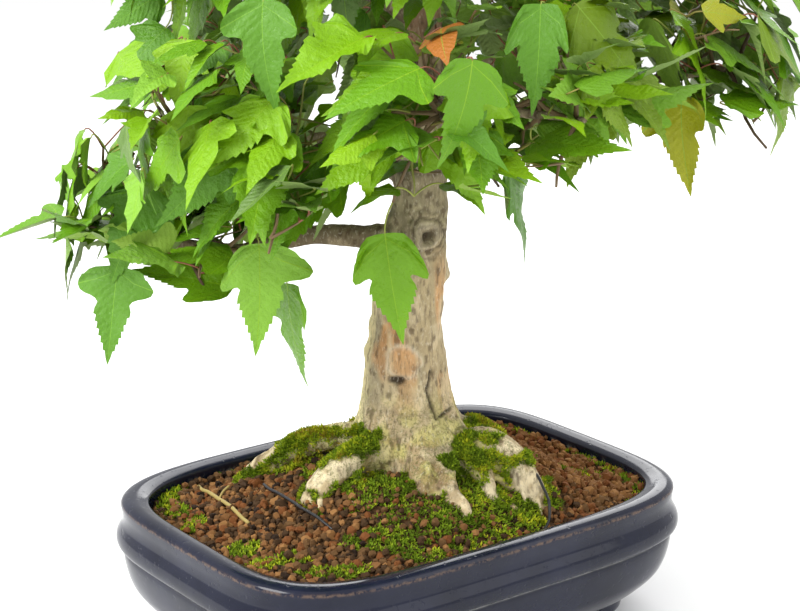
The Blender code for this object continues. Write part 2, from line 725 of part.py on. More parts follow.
def twig_shape(root, tip):
    end = tip + (tip - root).normalized() * TWIG_OVERRUN
    return three_sided([root, end], [TWIG_RADIUS, TWIG_TIP_RADIUS])


def grow_masses():
    """All the masses, with their hanging leaves grown before the rest."""
    spaces = [Space(row) for row in MASSES]
    limbs, blades = limb_thicket(), Thicket()
    masses = [Mass(space, spaces, limbs, blades) for space in spaces]
    for mass in masses:
        mass.others = [other for other in masses if other is not mass]
    named = {mass.space.name: mass for mass in masses}
    for name, base, tip, turn in HANGING:
        if not named[name].hang(view_point(*base), view_point(*tip), turn):
            print("no room for the hanging leaf of", name, "at", base)
    for mass in masses:
        mass.grow()
    return masses


def shape_object(name, shape, where):
    mesh = bpy.data.meshes.new(name)
    mesh.from_pydata(shape[0], [], shape[1])
    bm = bmesh.new()
    bm.from_mesh(mesh)
    bmesh.ops.recalc_face_normals(bm, faces=bm.faces)
    bm.to_mesh(mesh)
    bm.free()
    return add_object(name, mesh, None, where)


def keep_outer_shell(mesh):
    """Fills a hollow that the union sealed, and drops a loose scrap, by keeping the largest shell alone."""
    bm = bmesh.new()
    bm.from_mesh(mesh)
    unseen = set(bm.verts)
    shells = []
    while unseen:
        front = [unseen.pop()]
        shell = list(front)
        while front:
            here = front.pop()
            near = [edge.other_vert(here) for edge in here.link_edges]
            front += [v for v in near if v in unseen]
            shell += [v for v in near if v in unseen]
            unseen.difference_update(near)
        shells.append(shell)
    largest = max(shells, key=len)
    bmesh.ops.delete(bm, geom=[v for shell in shells if shell is not largest for v in shell], context="VERTS")
    bm.to_mesh(mesh)
    bm.free()


def build_mass(mass, where, finish):
    name = "leaves_" + mass.space.name
    thick = min(STEM_RADIUS, mass.space.tip_radius * 0.85)
    stem = tube(name, mass.stem, [thick * share for share in (1, 1, 0.95, 0.9, 0.8)], where, 1, finish)
    pieces = collection("pieces_" + name)
    for shape in mass.twigs + mass.leaves:
        shape_object("piece", shape, pieces)
    apply_boolean(stem, "UNION", pieces, solver="MANIFOLD")
    keep_outer_shell(stem.data)
    bpy.data.collections.remove(pieces)


def centre_in_plan(objects):
    """Moves the whole plant so that its box is centred on the origin in plan."""
    low = Vector((min(v.co[k] for o in objects for v in o.data.vertices) for k in range(2))).to_3d()
    high = Vector((max(v.co[k] for o in objects for v in o.data.vertices) for k in range(2))).to_3d()
    shift = Matrix.Translation(-(low + high) / 2)
    for obj in objects:
        obj.data.transform(shift)


def main():
    clear_scene()
    plant = collection("trident_maple_bonsai")
    helpers = collection("cutters")
    glaze = material("blue_glaze", (0.02, 0.025, 0.07), 0.15)
    grit = material("clay_grit", (0.20, 0.09, 0.04), 0.95)
    bark = material("bark", (0.45, 0.34, 0.22), 0.85)
    leafage = material("leaf_green", (0.12, 0.32, 0.03), 0.45)
    build_pot(plant, helpers, glaze)
    build_soil(plant, grit)
    build_trunk(plant, helpers, bark)
    build_boughs(plant, helpers, bark)
    for mass in grow_masses():
        build_mass(mass, plant, leafage)
        print(mass.space.name, "leaves", len(mass.leaves), "of", mass.space.leaves)
    centre_in_plan(list(plant.objects))
    bpy.data.collections.remove(helpers)


main()
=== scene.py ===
"""Trident maple bonsai in a glazed pot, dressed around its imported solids.

Laid out as a Blender add-on and run as a script: the operators make the pieces in order, and main() calls
them. Lengths are metres unless a name or a description says mm. Plant shapes are worked out about the
middle of the pot and then moved to where the pot stands.
"""

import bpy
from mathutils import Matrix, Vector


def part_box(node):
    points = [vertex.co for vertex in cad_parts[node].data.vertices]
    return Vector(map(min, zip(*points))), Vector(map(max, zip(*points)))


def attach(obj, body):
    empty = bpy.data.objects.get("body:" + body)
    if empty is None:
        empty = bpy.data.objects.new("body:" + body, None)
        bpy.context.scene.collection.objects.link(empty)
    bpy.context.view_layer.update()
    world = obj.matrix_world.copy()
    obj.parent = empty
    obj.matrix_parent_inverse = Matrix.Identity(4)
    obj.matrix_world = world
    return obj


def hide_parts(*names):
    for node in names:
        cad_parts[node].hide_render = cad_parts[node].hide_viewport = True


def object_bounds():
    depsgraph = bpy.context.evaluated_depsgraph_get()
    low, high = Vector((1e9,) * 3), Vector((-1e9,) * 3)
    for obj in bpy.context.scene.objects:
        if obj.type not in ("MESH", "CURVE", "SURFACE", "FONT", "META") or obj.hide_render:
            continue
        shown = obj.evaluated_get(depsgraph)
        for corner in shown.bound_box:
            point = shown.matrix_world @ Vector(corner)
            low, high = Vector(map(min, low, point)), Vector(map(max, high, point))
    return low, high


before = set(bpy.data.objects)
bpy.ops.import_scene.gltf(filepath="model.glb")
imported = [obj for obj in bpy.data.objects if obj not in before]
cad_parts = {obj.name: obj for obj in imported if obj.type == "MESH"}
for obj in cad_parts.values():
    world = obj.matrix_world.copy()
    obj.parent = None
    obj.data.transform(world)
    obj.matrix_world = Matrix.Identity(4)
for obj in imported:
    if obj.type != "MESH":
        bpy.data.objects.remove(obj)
CAD_BOX = [list(corner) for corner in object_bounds()]

import itertools
import math
import random

import bpy
import numpy as np
from bpy.props import FloatProperty, FloatVectorProperty, IntProperty, PointerProperty
from mathutils import Matrix, Quaternion, Vector
from mathutils.bvhtree import BVHTree
from mathutils.noise import noise as value_noise

bl_info = {
    "name": "Trident maple bonsai",
    "version": (1, 0, 0),
    "blender": (4, 5, 0),
    "location": "3D View > Sidebar > Bonsai",
    "description": "Builds a potted trident maple: pot, grit, moss, trunk, boughs, twigs and leaves",
    "category": "Object",
}

MM = 0.001
GAP = 0.3 * MM
TURN = 2 * math.pi
UP = Vector((0, 0, 1))
POT_LOW, POT_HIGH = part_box("pot")
MIDDLE = np.array([(POT_LOW.x + POT_HIGH.x) / 2, (POT_LOW.y + POT_HIGH.y) / 2, 0.0])
VIEW_BEARING = -37.0  # degrees from X: the way that "right" runs in the tables below
CAMERA_PITCH = 90 - 15.5621
CAMERA_SLOPE = math.tan(math.radians(90 - CAMERA_PITCH))

# ------------------------------------------------------------------ sizes of the solids

POT_SQUARENESS = 4.4
WALL_INSET = 13.2
SOIL_EDGE_DROP = 12
SOIL_TOP_Z = 96 * MM
SOIL_FLAT_RADIUS = 34 * MM
POT_LENGTH = 300 * MM
POT_WIDTH = 225 * MM
POT_HEIGHT = 80 * MM
SOIL_RIPPLE = 1.6 * MM
TRUNK_FOOT = 14 * MM, -4 * MM
# (height over the soil, lean, radius), mm
TRUNK_STATIONS = ((-6, 0, 39.5), (4, -1, 36), (12, -4, 32.5), (22, -6, 29.5), (33, -9, 26.2), (46, -10, 23.8),
                  (62, -10, 22.2), (80, -10, 20.9), (100, -9, 20.5), (116, -7, 20.0), (130, -6, 17.6),
                  (146, -3, 15.2), (165, -1, 13.6), (190, 0, 12.2), (215, 0, 10.6), (245, 1, 9.0),
                  (280, 0, 7.4), (315, -2, 5.6), (338, -2, 4.4))
TRUNK_SIDES = 20
FLARE_HEIGHT = 42 * MM
FLARE_DEPTH = 0.34
# (name, bearing, reach, radius, knuckle), mm and degrees
ROOTS = (("left", 134, 116, 8.0, 10.0), ("front_left", 177, 78, 10.0, 9.0), ("front", 230, 52, 7.0, 3.0),
         ("front_right", 252, 62, 6.5, 5.0), ("right_front", 275, 64, 6.0, 5.0),
         ("right", 300, 79, 11.0, 8.0), ("back_right", 352, 62, 7.0, 7.0), ("back", 53, 66, 8.0, 3.0),
         ("back_left", 96, 70, 8.0, 4.0))
ROOT_SINK = 9
# (name, bearing, height over the soil, reach, rise, arch, root radius, tip radius), mm and degrees
BOUGHS = (
    ("low_left", 152, 128, 92, 2, 5, 8.2, 4.6),
    ("left_front", 178, 180, 74, 10, 6, 6.8, 4.0),
    ("front", 238, 218, 56, 8, 6, 5.8, 3.6),
    ("front_right", 274, 198, 60, 16, 7, 6.0, 3.6),
    ("low_right", -35, 212, 102, 8, 16, 7.4, 4.2),
    ("back_right", 10, 190, 66, 22, 6, 6.2, 3.8),
    ("back", 56, 174, 62, 22, 6, 5.8, 3.6),
    ("back_left", 102, 156, 74, 24, 7, 6.4, 3.8),
    ("upper_left", 140, 250, 56, 24, 4, 4.8, 3.0),
    ("upper_front", 214, 262, 44, 26, 4, 4.4, 2.8),
    ("upper_right", -28, 266, 56, 24, 4, 4.6, 3.0),
    ("upper_back", 48, 280, 46, 22, 4, 4.2, 2.8),
)
BOUGH_STEPS = 7
# (bough, past its tip, above its tip, half sizes outward, across and up, leaves, seed), mm
MASSES = (
    ("low_left", 50, 2, 80, 80, 70, 31, 3),
    ("left_front", 42, -8, 72, 72, 68, 27, 11),
    ("front", 40, -12, 68, 66, 68, 20, 5),
    ("front_right", 40, -4, 66, 62, 62, 18, 8),
    ("low_right", 50, 2, 70, 74, 66, 27, 21),
    ("back_right", 44, 6, 74, 70, 62, 22, 13),
    ("back", 42, 10, 70, 70, 64, 19, 17),
    ("back_left", 46, 16, 74, 72, 66, 22, 19),
    ("upper_left", 44, 14, 70, 74, 62, 21, 23),
    ("upper_front", 36, 12, 66, 68, 62, 18, 29),
    ("upper_right", 44, 10, 70, 72, 62, 21, 31),
    ("upper_back", 36, 8, 66, 68, 60, 18, 37),
    ("apex", 0, 22, 86, 82, 52, 23, 41),
)
# (mass, stalk end and tip as right, near and up in mm, turn about the leaf's length)
HANGING = (
    ("low_left", (-75, 66, 241), (-72, 80, 182), 0),
    ("low_left", (-61, 54, 216), (-57, 62, 156), 50),
    ("low_left", (-98, 40, 254), (-114, 52, 189), 62),
    ("low_left", (-153, 48, 224), (-160, 62, 172), 15),
    ("low_left", (-134, 44, 267), (-161, 60, 218), -10),
    ("left_front", (-88, 98, 301), (-119, 116, 258), 0),
    ("upper_left", (-125, 30, 351), (-152, 46, 326), 20),
    ("upper_left", (-128, 20, 368), (-158, 30, 352), -15),
    ("upper_front", (-68, 100, 374), (-73, 122, 323), 10),
    ("front", (-8, 72, 248), (-1, 86, 190), 0),
    ("front", (0, 84, 315), (-46, 104, 285), 10),
    ("front", (19, 70, 303), (44, 88, 264), 0),
    ("front_right", (48, 60, 313), (88, 76, 278), -10),
    ("front_right", (70, 100, 372), (67, 124, 323), 10),
    ("front_right", (89, 84, 370), (129, 100, 326), -10),
    ("low_right", (104, 22, 315), (92, 34, 264), 30),
    ("low_right", (60, 8, 268), (78, 16, 215), -60),
    ("low_right", (152, 30, 314), (148, 42, 262), 40),
)
LEAF_LENGTH = 63 * MM
LEAF_THICKNESS = 1.5 * MM
LEAF_HALF = ((0.43, 0.33, 0.05), (0.19, 0.40, 0.0))
LEAF_TIP_SAG = 0.14
LEAF_MIDDLE = 0.32
LEAF_SPACING = 0.26
LEAF_TRIES = 14
STALK_LENGTH = 22 * MM
STALK_RADIUS = 0.7 * MM
TWIG_RADIUS = 1.9 * MM
TWIG_TIP_RADIUS = 1.7 * MM
TWIG_OVERRUN = 2.5 * MM
TWIG_TRIES = 320
STEM_RADIUS = 3.4 * MM
LIMB_CLEARANCE = 1.5 * MM
LEAF_CLEARANCE = 0.5 * MM
SPACE_REACH = 1.05
SPACE_MARGIN = 0.025
GOLDEN_ANGLE = math.radians(137.5)


# ------------------------------------------------------------------ arrays and meshes


def smooth(t):
    """Smoothstep of a share, held between 0 and 1."""
    t = np.clip(t, 0.0, 1.0)
    return t * t * (3 - 2 * t)


def bump(distance, width):
    """Bell curve of a distance: 1 at 0, and dying away past the width."""
    return np.exp(-((distance / width) ** 2))


def bearing_vector(degrees):
    """Level unit vector along a bearing, as an array whose last axis is X, Y, Z."""
    angle = np.radians(np.asarray(degrees, float))
    return np.stack([np.cos(angle), np.sin(angle), np.zeros_like(angle)], axis=-1)


RIGHT, NEAR = bearing_vector(VIEW_BEARING), bearing_vector(VIEW_BEARING - 90)


def spot(right, near, up=0.0):
    """Point that lies so many mm to the right of the pot's middle, nearer than it and over the ground."""
    return (RIGHT * right + NEAR * near + np.array([0, 0, up])) * MM


def noise(points, scale, seed=0):
    """Value noise from -1 to 1: a hashed number at each corner of a lattice, blended by smoothstep."""
    place = points / scale + seed * 31.7
    cell = np.floor(place).astype(np.int64)
    share = smooth(place - cell)
    total = np.zeros(points.shape[:-1])
    for corner in itertools.product((0, 1), repeat=3):
        at = cell + np.array(corner)
        key = at[..., 0] * 73856093 ^ at[..., 1] * 19349663 ^ at[..., 2] * 83492791
        key = (key ^ (key >> 13)) * 1274126177
        value = ((key ^ (key >> 16)) & 0xFFFF) / 32767.5 - 1
        total += value * np.prod(np.where(np.array(corner) == 1, share, 1 - share), axis=-1)
    return total


def grid_faces(rows, columns, wrap=True):
    """Quads of a grid of rows by columns, whose columns may close into a ring."""
    across = np.arange(columns if wrap else columns - 1)
    low = np.arange(rows - 1)[:, None] * columns
    left, right = low + across, low + (across + 1) % columns
    return np.stack([left, right, right + columns, left + columns], axis=-1).reshape(-1, 4)


def fan_faces(centre, ring, flip=False):
    """Triangles from a centre to a ring of vertices."""
    other = np.roll(ring, -1)
    pair = (other, ring) if flip else (ring, other)
    return np.stack([np.full(len(ring), centre), *pair, np.full(len(ring), -1)], axis=-1)


def new_mesh(name, points, faces, colours=None, uv=None, kinds=None):
    """Mesh from an array of points and one of faces, where a triangle's last corner is -1."""
    mesh = bpy.data.meshes.new(name)
    loops = faces[faces >= 0]
    sizes = (faces >= 0).sum(axis=1)
    mesh.vertices.add(len(points))
    mesh.vertices.foreach_set("co", np.asarray(points, np.float32).ravel())
    mesh.loops.add(len(loops))
    mesh.loops.foreach_set("vertex_index", loops.astype(np.int32))
    mesh.polygons.add(len(faces))
    mesh.polygons.foreach_set("loop_start", (np.cumsum(sizes) - sizes).astype(np.int32))
    if kinds is not None:
        mesh.polygons.foreach_set("material_index", kinds.astype(np.int32))
    mesh.update(calc_edges=True)
    if uv is not None:
        layer = mesh.uv_layers.new(name="UVMap")
        layer.uv.foreach_set("vector", np.asarray(uv, np.float32)[loops].ravel())
    if colours is not None:
        tint = mesh.color_attributes.new("tint", "FLOAT_COLOR", "POINT")
        rgba = np.concatenate([colours, np.ones((len(colours), 1))], axis=1)
        tint.data.foreach_set("color", rgba.astype(np.float32).ravel())
    mesh.validate()
    return mesh


def new_piece(name, mesh, finishes, nodes=(), sharp=None):
    """Object of a finished mesh, with its finishes and the solids that it stands for."""
    obj = bpy.data.objects.new(name, mesh)
    bpy.context.scene.collection.objects.link(obj)
    for finish in finishes:
        mesh.materials.append(finish)
    mesh.shade_smooth()
    if sharp is not None:
        mesh.set_sharp_from_angle(angle=math.radians(sharp))
    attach(obj, "root")
    if nodes:
        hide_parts(*nodes)
    return obj


def repeat_faces(faces, count, stride):
    """The same faces for each of a number of copies, whose vertices follow one another."""
    shift = (np.arange(count) * stride)[:, None, None]
    return np.where(faces[None] >= 0, faces[None] + shift, -1).reshape(-1, faces.shape[1])


def frames_along(paths):
    """Two unit vectors square to each other and to a path at each of its points, for many paths at once.

    The paths are an array of paths by points by three. The first vector is the part of UP, or of X on an
    upright path, that lies square to the path's run there.
    """
    run = np.gradient(paths, axis=1)
    run /= np.linalg.norm(run, axis=-1, keepdims=True) + 1e-12
    whole = paths[:, -1] - paths[:, 0]
    steep = np.abs(whole[:, 2]) > 0.85 * np.linalg.norm(whole, axis=-1)
    guide = np.where(steep[:, None], np.array([1.0, 0, 0]), np.array([0, 0, 1.0]))[:, None]
    side = guide - run * (run * guide).sum(-1, keepdims=True)
    side /= np.linalg.norm(side, axis=-1, keepdims=True) + 1e-12
    return side, np.cross(run, side)


def tubes(paths, radii, sides):
    """(points, faces) of closed tubes: a circle of the path's own radius carried along each path."""
    count, steps = paths.shape[:2]
    side, across = frames_along(paths)
    angle = TURN * np.arange(sides) / sides
    ring = side[:, :, None] * np.cos(angle)[:, None] + across[:, :, None] * np.sin(angle)[:, None]
    body = paths[:, :, None] + ring * radii[:, :, None, None]
    points = np.concatenate([body.reshape(count, -1, 3), paths[:, :1], paths[:, -1:]], axis=1)
    first, last = steps * sides, steps * sides + 1
    faces = np.concatenate([
        np.concatenate([grid_faces(steps, sides)]),
        fan_faces(first, np.arange(sides), flip=True),
        fan_faces(last, np.arange(sides) + (steps - 1) * sides)])
    return points.reshape(-1, 3), repeat_faces(faces, count, steps * sides + 2)


def join_parts(parts):
    """One (points, faces) from several."""
    points = np.concatenate([p for p, _ in parts])
    starts = np.cumsum([0] + [len(p) for p, _ in parts[:-1]])
    faces = np.concatenate([np.where(f >= 0, f + start, -1) for (_, f), start in zip(parts, starts)])
    return points, faces


def through(rows, shares):
    """Smooth line through rows of control points, at shares from 0 to 1: Catmull-Rom between neighbours."""
    rows = np.asarray(rows, float)
    padded = np.concatenate([[2 * rows[0] - rows[1]], rows, [2 * rows[-1] - rows[-2]]])
    span = np.clip(shares, 0, 1) * (len(rows) - 1)
    k = np.minimum(span.astype(int), len(rows) - 2)
    t = (span - k)[:, None]
    a, b, c, d = (padded[k + i] for i in range(4))
    return 0.5 * (2 * b + (c - a) * t + (2 * a - 5 * b + 4 * c - d) * t**2 + (3 * b - a - 3 * c + d) * t**3)


# ------------------------------------------------------------------ finishes


def add_node(tree, kind, settings=None, **inputs):
    """Node with its settings and inputs, where an input is a value or another node's socket."""
    node = tree.nodes.new(kind)
    for key, value in (settings or {}).items():
        setattr(node, key, value)
    for key, value in inputs.items():
        numbered = key[0] == "i" and key[1:].isdigit()
        socket = node.inputs[int(key[1:]) if numbered else key.replace("_", " ")]
        if isinstance(value, bpy.types.NodeSocket):
            tree.links.new(value, socket)
        else:
            socket.default_value = value
    return node


def finish(name, colour, roughness, **constants):
    """(material, node tree, shader) of a Principled finish whose constants are set on the shader itself."""
    made = bpy.data.materials.new(name)
    made.use_nodes = True
    made.diffuse_color = (*colour[:3], 1)
    tree = made.node_tree
    shader = tree.nodes["Principled BSDF"]
    shader.inputs["Base Color"].default_value = (*colour[:3], 1)
    shader.inputs["Roughness"].default_value = roughness
    for key, value in constants.items():
        shader.inputs[key.replace("_", " ")].default_value = value
    return made, tree, shader


def object_noise(tree, scale, detail=3.0, stretch=(1, 1, 1), roughness=0.55):
    """Noise on Object coordinates, stretched along the axes: its socket of values."""
    place = add_node(tree, "ShaderNodeTexCoord").outputs["Object"]
    if stretch != (1, 1, 1):
        place = add_node(tree, "ShaderNodeMapping", Vector=place, Scale=stretch).outputs["Vector"]
    made = add_node(tree, "ShaderNodeTexNoise", Vector=place, Scale=scale, Detail=detail, Roughness=roughness)
    return made.outputs["Fac"]


def spread(tree, value, low, high, to_low=0.0, to_high=1.0):
    """A value from low to high mapped to another range and held there."""
    made = add_node(tree, "ShaderNodeMapRange", Value=value)
    for key, number in (("From Min", low), ("From Max", high), ("To Min", to_low), ("To Max", to_high)):
        made.inputs[key].default_value = number
    return made.outputs["Result"]


def times(tree, a, b):
    return add_node(tree, "ShaderNodeMath", {"operation": "MULTIPLY"}, i0=a, i1=b).outputs[0]


def blend_colours(tree, share, first, second, how="MIX"):
    """Colour mixed from two by a share, where each is a colour or a socket."""
    made = add_node(tree, "ShaderNodeMix", {"data_type": "RGBA", "blend_type": how})
    for key, value in ((0, share), (6, first), (7, second)):
        if isinstance(value, bpy.types.NodeSocket):
            tree.links.new(value, made.inputs[key])
        else:
            made.inputs[key].default_value = value if key == 0 else (*value[:3], 1)
    return made.outputs[2]


def relief(tree, shader, height, distance, strength=1.0):
    """Bump of a height socket, whose full swing is a distance in metres."""
    made = add_node(tree, "ShaderNodeBump", Height=height, Distance=distance, Strength=strength)
    tree.links.new(made.outputs["Normal"], shader.inputs["Normal"])


def glaze_finish(colours):
    """Dark glossy glaze, slightly clouded, pitted at the lip, with worn lines where the masks say."""
    made, tree, shader = finish("blue_black_glaze", colours.glaze, 0.13, Specular_IOR_Level=0.27)
    cloud = spread(tree, object_noise(tree, 26, 5), 0.35, 0.7)
    colour = blend_colours(tree, cloud, colours.glaze, [c * 1.8 + 0.003 for c in colours.glaze])
    masks = add_node(tree, "ShaderNodeAttribute", {"attribute_name": "tint"}).outputs["Color"]
    lines = add_node(tree, "ShaderNodeSeparateColor", Color=masks)
    speckle = object_noise(tree, 420, 4, roughness=0.7)
    patches = spread(tree, object_noise(tree, 55, 3), 0.3, 0.6, 0.35, 1.0)
    rim = times(tree, times(tree, lines.outputs[0], spread(tree, speckle, 0.42, 0.56)), patches)
    colour = blend_colours(tree, rim, colour, colours.worn_rim)
    step = times(tree, lines.outputs[1], spread(tree, object_noise(tree, 90, 3), 0.3, 0.6, 0.35, 1.0))
    colour = blend_colours(tree, step, colour, colours.worn_step)
    chalk = times(tree, lines.outputs[2], spread(tree, object_noise(tree, 130, 5, roughness=0.75), 0.5, 0.66))
    colour = blend_colours(tree, chalk, colour, (0.62, 0.60, 0.54))
    tree.links.new(colour, shader.inputs["Base Color"])
    worn = add_node(tree, "ShaderNodeMath", {"operation": "ADD"}, i0=rim, i1=chalk).outputs[0]
    gloss = spread(tree, object_noise(tree, 60, 4), 0.3, 0.75, 0.07, 0.2)
    rough = add_node(tree, "ShaderNodeMath", {"operation": "ADD", "use_clamp": True}, i0=gloss,
                     i1=times(tree, worn, 0.5)).outputs[0]
    tree.links.new(rough, shader.inputs["Roughness"])
    ripple = times(tree, object_noise(tree, 30, 2), 0.9)
    pits = times(tree, spread(tree, object_noise(tree, 330, 2), 0.28, 0.36), 0.25)
    relief(tree, shader,
           add_node(tree, "ShaderNodeMath", {"operation": "ADD"}, i0=ripple, i1=pits).outputs[0],
           1.2 * MM, 0.35)
    return made


def clay_finish(name, colour):
    """Unglazed or fired clay of one plain colour, with a fine grain."""
    made, tree, shader = finish(name, colour, 0.92, Specular_IOR_Level=0.25)
    grain = object_noise(tree, 900, 4, roughness=0.7)
    tree.links.new(spread(tree, grain, 0.2, 0.8, 0.8, 1.0), shader.inputs["Roughness"])
    relief(tree, shader, grain, 0.5 * MM, 0.8)
    return made


def ground_finish(colours):
    """Damp crumbs between the granules, from dark earth to clay red."""
    made, tree, shader = finish("grit_bed", colours.grit, 0.95, Specular_IOR_Level=0.2)
    crumbs = object_noise(tree, 330, 5, roughness=0.7)
    dark = [c * 0.22 for c in colours.grit]
    colour = blend_colours(tree, spread(tree, crumbs, 0.38, 0.62), dark, [c * 0.75 for c in colours.grit])
    tree.links.new(colour, shader.inputs["Base Color"])
    relief(tree, shader, crumbs, 1.4 * MM, 1.0)
    return made


def bark_finish():
    """Bark whose colour by place is in the tint attribute, and its lichen specks in that one's alpha."""
    made, tree, shader = finish("bark", (0.45, 0.36, 0.24), 0.85, Specular_IOR_Level=0.3)
    by_place = add_node(tree, "ShaderNodeAttribute", {"attribute_name": "tint"})
    tint = by_place.outputs["Color"]
    speckled = times(tree, by_place.outputs["Alpha"],
                     spread(tree, object_noise(tree, 640, 4, roughness=0.75), 0.5, 0.6))
    tint = blend_colours(tree, times(tree, speckled, 0.7), tint, (0.13, 0.14, 0.035))
    streak = object_noise(tree, 520, 5, stretch=(1, 1, 0.22), roughness=0.7)
    colour = blend_colours(tree, spread(tree, streak, 0.32, 0.5, 0.75, 0.0), tint,
                           blend_colours(tree, 0.82, tint, (0.10, 0.065, 0.035)))
    light = spread(tree, object_noise(tree, 760, 3, stretch=(1, 1, 0.5)), 0.56, 0.7, 0.0, 0.32)
    colour = blend_colours(tree, light, colour, (0.80, 0.72, 0.56))
    tree.links.new(colour, shader.inputs["Base Color"])
    grain = object_noise(tree, 360, 6, stretch=(1, 1, 0.3), roughness=0.72)
    tree.links.new(spread(tree, grain, 0.3, 0.7, 0.72, 0.95), shader.inputs["Roughness"])
    relief(tree, shader, grain, 1.1 * MM, 0.9)
    return made


def twig_finish(name, colour, scale=700):
    """Young wood of one plain colour, with a fine grain."""
    made, tree, shader = finish(name, colour, 0.6, Specular_IOR_Level=0.4)
    grain = object_noise(tree, scale, 3)
    tree.links.new(spread(tree, grain, 0.3, 0.7, 0.48, 0.75), shader.inputs["Roughness"])
    relief(tree, shader, grain, 0.3 * MM, 0.6)
    return made


def leaf_finish(name, colour, low_rough=0.22, high_rough=0.5, veined=1.0):
    """Leaf skin of one plain colour: satin, with faint quilting between its side veins as relief.

    The UV map is the blade's own plan in leaf lengths, with the midrib at U 0.5. The side veins leave it at
    equal steps and slope forwards, so their height is a wave of V less a share of the distance from the rib.
    """
    made, tree, shader = finish(name, colour, 0.42, Specular_IOR_Level=0.34)
    plan = add_node(tree, "ShaderNodeUVMap", {"uv_map": "UVMap"}).outputs["UV"]
    parts = add_node(tree, "ShaderNodeSeparateXYZ", Vector=plan)
    off = add_node(tree, "ShaderNodeMath", {"operation": "SUBTRACT"}, i0=parts.outputs[0], i1=0.5).outputs[0]
    away = add_node(tree, "ShaderNodeMath", {"operation": "ABSOLUTE"}, i0=off).outputs[0]
    phase = add_node(tree, "ShaderNodeMath", {"operation": "SUBTRACT"}, i0=parts.outputs[1],
                     i1=times(tree, away, 0.9)).outputs[0]
    wave = add_node(tree, "ShaderNodeMath", {"operation": "PINGPONG"}, i0=phase, i1=0.042).outputs[0]
    quilt = spread(tree, wave, 0.0, 0.042, 0.0, 1.0)
    blister = object_noise(tree, 240, 5, roughness=0.65)
    height = add_node(tree, "ShaderNodeMath", {"operation": "ADD"}, i0=times(tree, quilt, 0.12 * veined),
                      i1=times(tree, blister, 1.1)).outputs[0]
    relief(tree, shader, height, 1.5 * MM, 0.85)
    tree.links.new(spread(tree, blister, 0.35, 0.65, low_rough, high_rough), shader.inputs["Roughness"])
    return made


def moss_finish(name, colour):
    made, tree, shader = finish(name, colour, 0.8, Specular_IOR_Level=0.15)
    grain = object_noise(tree, 1400, 3)
    tree.links.new(spread(tree, grain, 0.3, 0.7, 0.65, 0.9), shader.inputs["Roughness"])
    relief(tree, shader, grain, 0.3 * MM, 0.8)
    return made


# ------------------------------------------------------------------ pot


def outline_radius(angle, half_x, half_y):
    """Distance from the middle to a superellipse at a polar angle."""
    c, s = np.abs(np.cos(angle)), np.abs(np.sin(angle))
    return ((c / half_x) ** POT_SQUARENESS + (s / half_y) ** POT_SQUARENESS) ** (-1 / POT_SQUARENESS)


def pot_points(angle, inset, z, length, width):
    """Points of the pot's outline at polar angles, brought in by an inset in mm, at heights in metres."""
    radius = outline_radius(angle, length / 2 - inset * MM, width / 2 - inset * MM)
    return np.stack([radius * np.cos(angle), radius * np.sin(angle), z + 0 * radius], axis=-1)


# (inset from the rim's outer edge, drop below its top) in mm, from the inner floor over the lip to the base
POT_PROFILE = ((34, 62.6), (28, 62), (20, 55), (16.5, 45), (14.6, 28), (13.4, 12), (14.0, 5.5), (14.2, 3.6),
               (13.5, 2.2), (12.0, 1.25), (10.0, 0.6), (7.2, 0.0), (4.4, 0.2), (2.3, 1.0), (0.9, 2.3),
               (0.35, 3.8), (0.55, 6.5), (0.95, 10.5), (0.6, 14), (-0.6, 17), (-1.9, 20), (-2.5, 23),
               (-2.3, 26), (-1.3, 28.2), (0.5, 29.3), (1.5, 30.2), (1.2, 31.4), (0.9, 33.5), (1.3, 38),
               (2.4, 44), (3.8, 49), (5.4, 53), (8.0, 57), (11.5, 61), (15.5, 65), (20, 68.6), (25, 70.4),
               (32, 71), (44, 71))
LIP_EDGE, STEP_GROOVE, GRIT_LINE = 3.4, 29.6, 9.0  # drops of the worn lip, the worn step and the chalky line


def pot_surface(sizes, rows, columns):
    """Pot wall: the profile's inset and drop as functions of v, carried round the outline as angle u."""
    v = np.linspace(0, 1, rows)
    profile = through(POT_PROFILE, v)
    angle = TURN * np.arange(columns) / columns
    z = sizes.height - profile[:, 1] * MM
    points = pot_points(angle[None], profile[:, :1], z[:, None], sizes.length, sizes.width)
    wobble = noise(points * [1, 1, 0.4], 60 * MM, 3)[..., None] * 0.45 * MM
    points = points + wobble * (points * [1, 1, 0]) / np.linalg.norm(points[..., :2], axis=-1, keepdims=True)
    top, base = points[0].mean(axis=0), points[-1].mean(axis=0)
    outside = smooth((v - 0.28) * 30)
    masks = np.stack([bump(profile[:, 1] - LIP_EDGE, 0.8) * outside,
                      bump(profile[:, 1] - STEP_GROOVE, 0.9) * outside,
                      bump(profile[:, 1] - GRIT_LINE, 2.2) * (1 - outside)], axis=-1)
    masks = np.repeat(masks[:, None], columns, axis=1)
    back = smooth((points[..., :2] @ -NEAR[:2]) / (60 * MM))
    masks[..., 2] *= back
    faces = np.concatenate([grid_faces(rows, columns),
                            fan_faces(rows * columns, np.arange(columns), flip=True),
                            fan_faces(rows * columns + 1, np.arange(columns) + (rows - 1) * columns)])
    points = np.concatenate([points.reshape(-1, 3), [top, base]])
    masks = np.concatenate([masks.reshape(-1, 3), np.zeros((2, 3))])
    return points, faces, masks


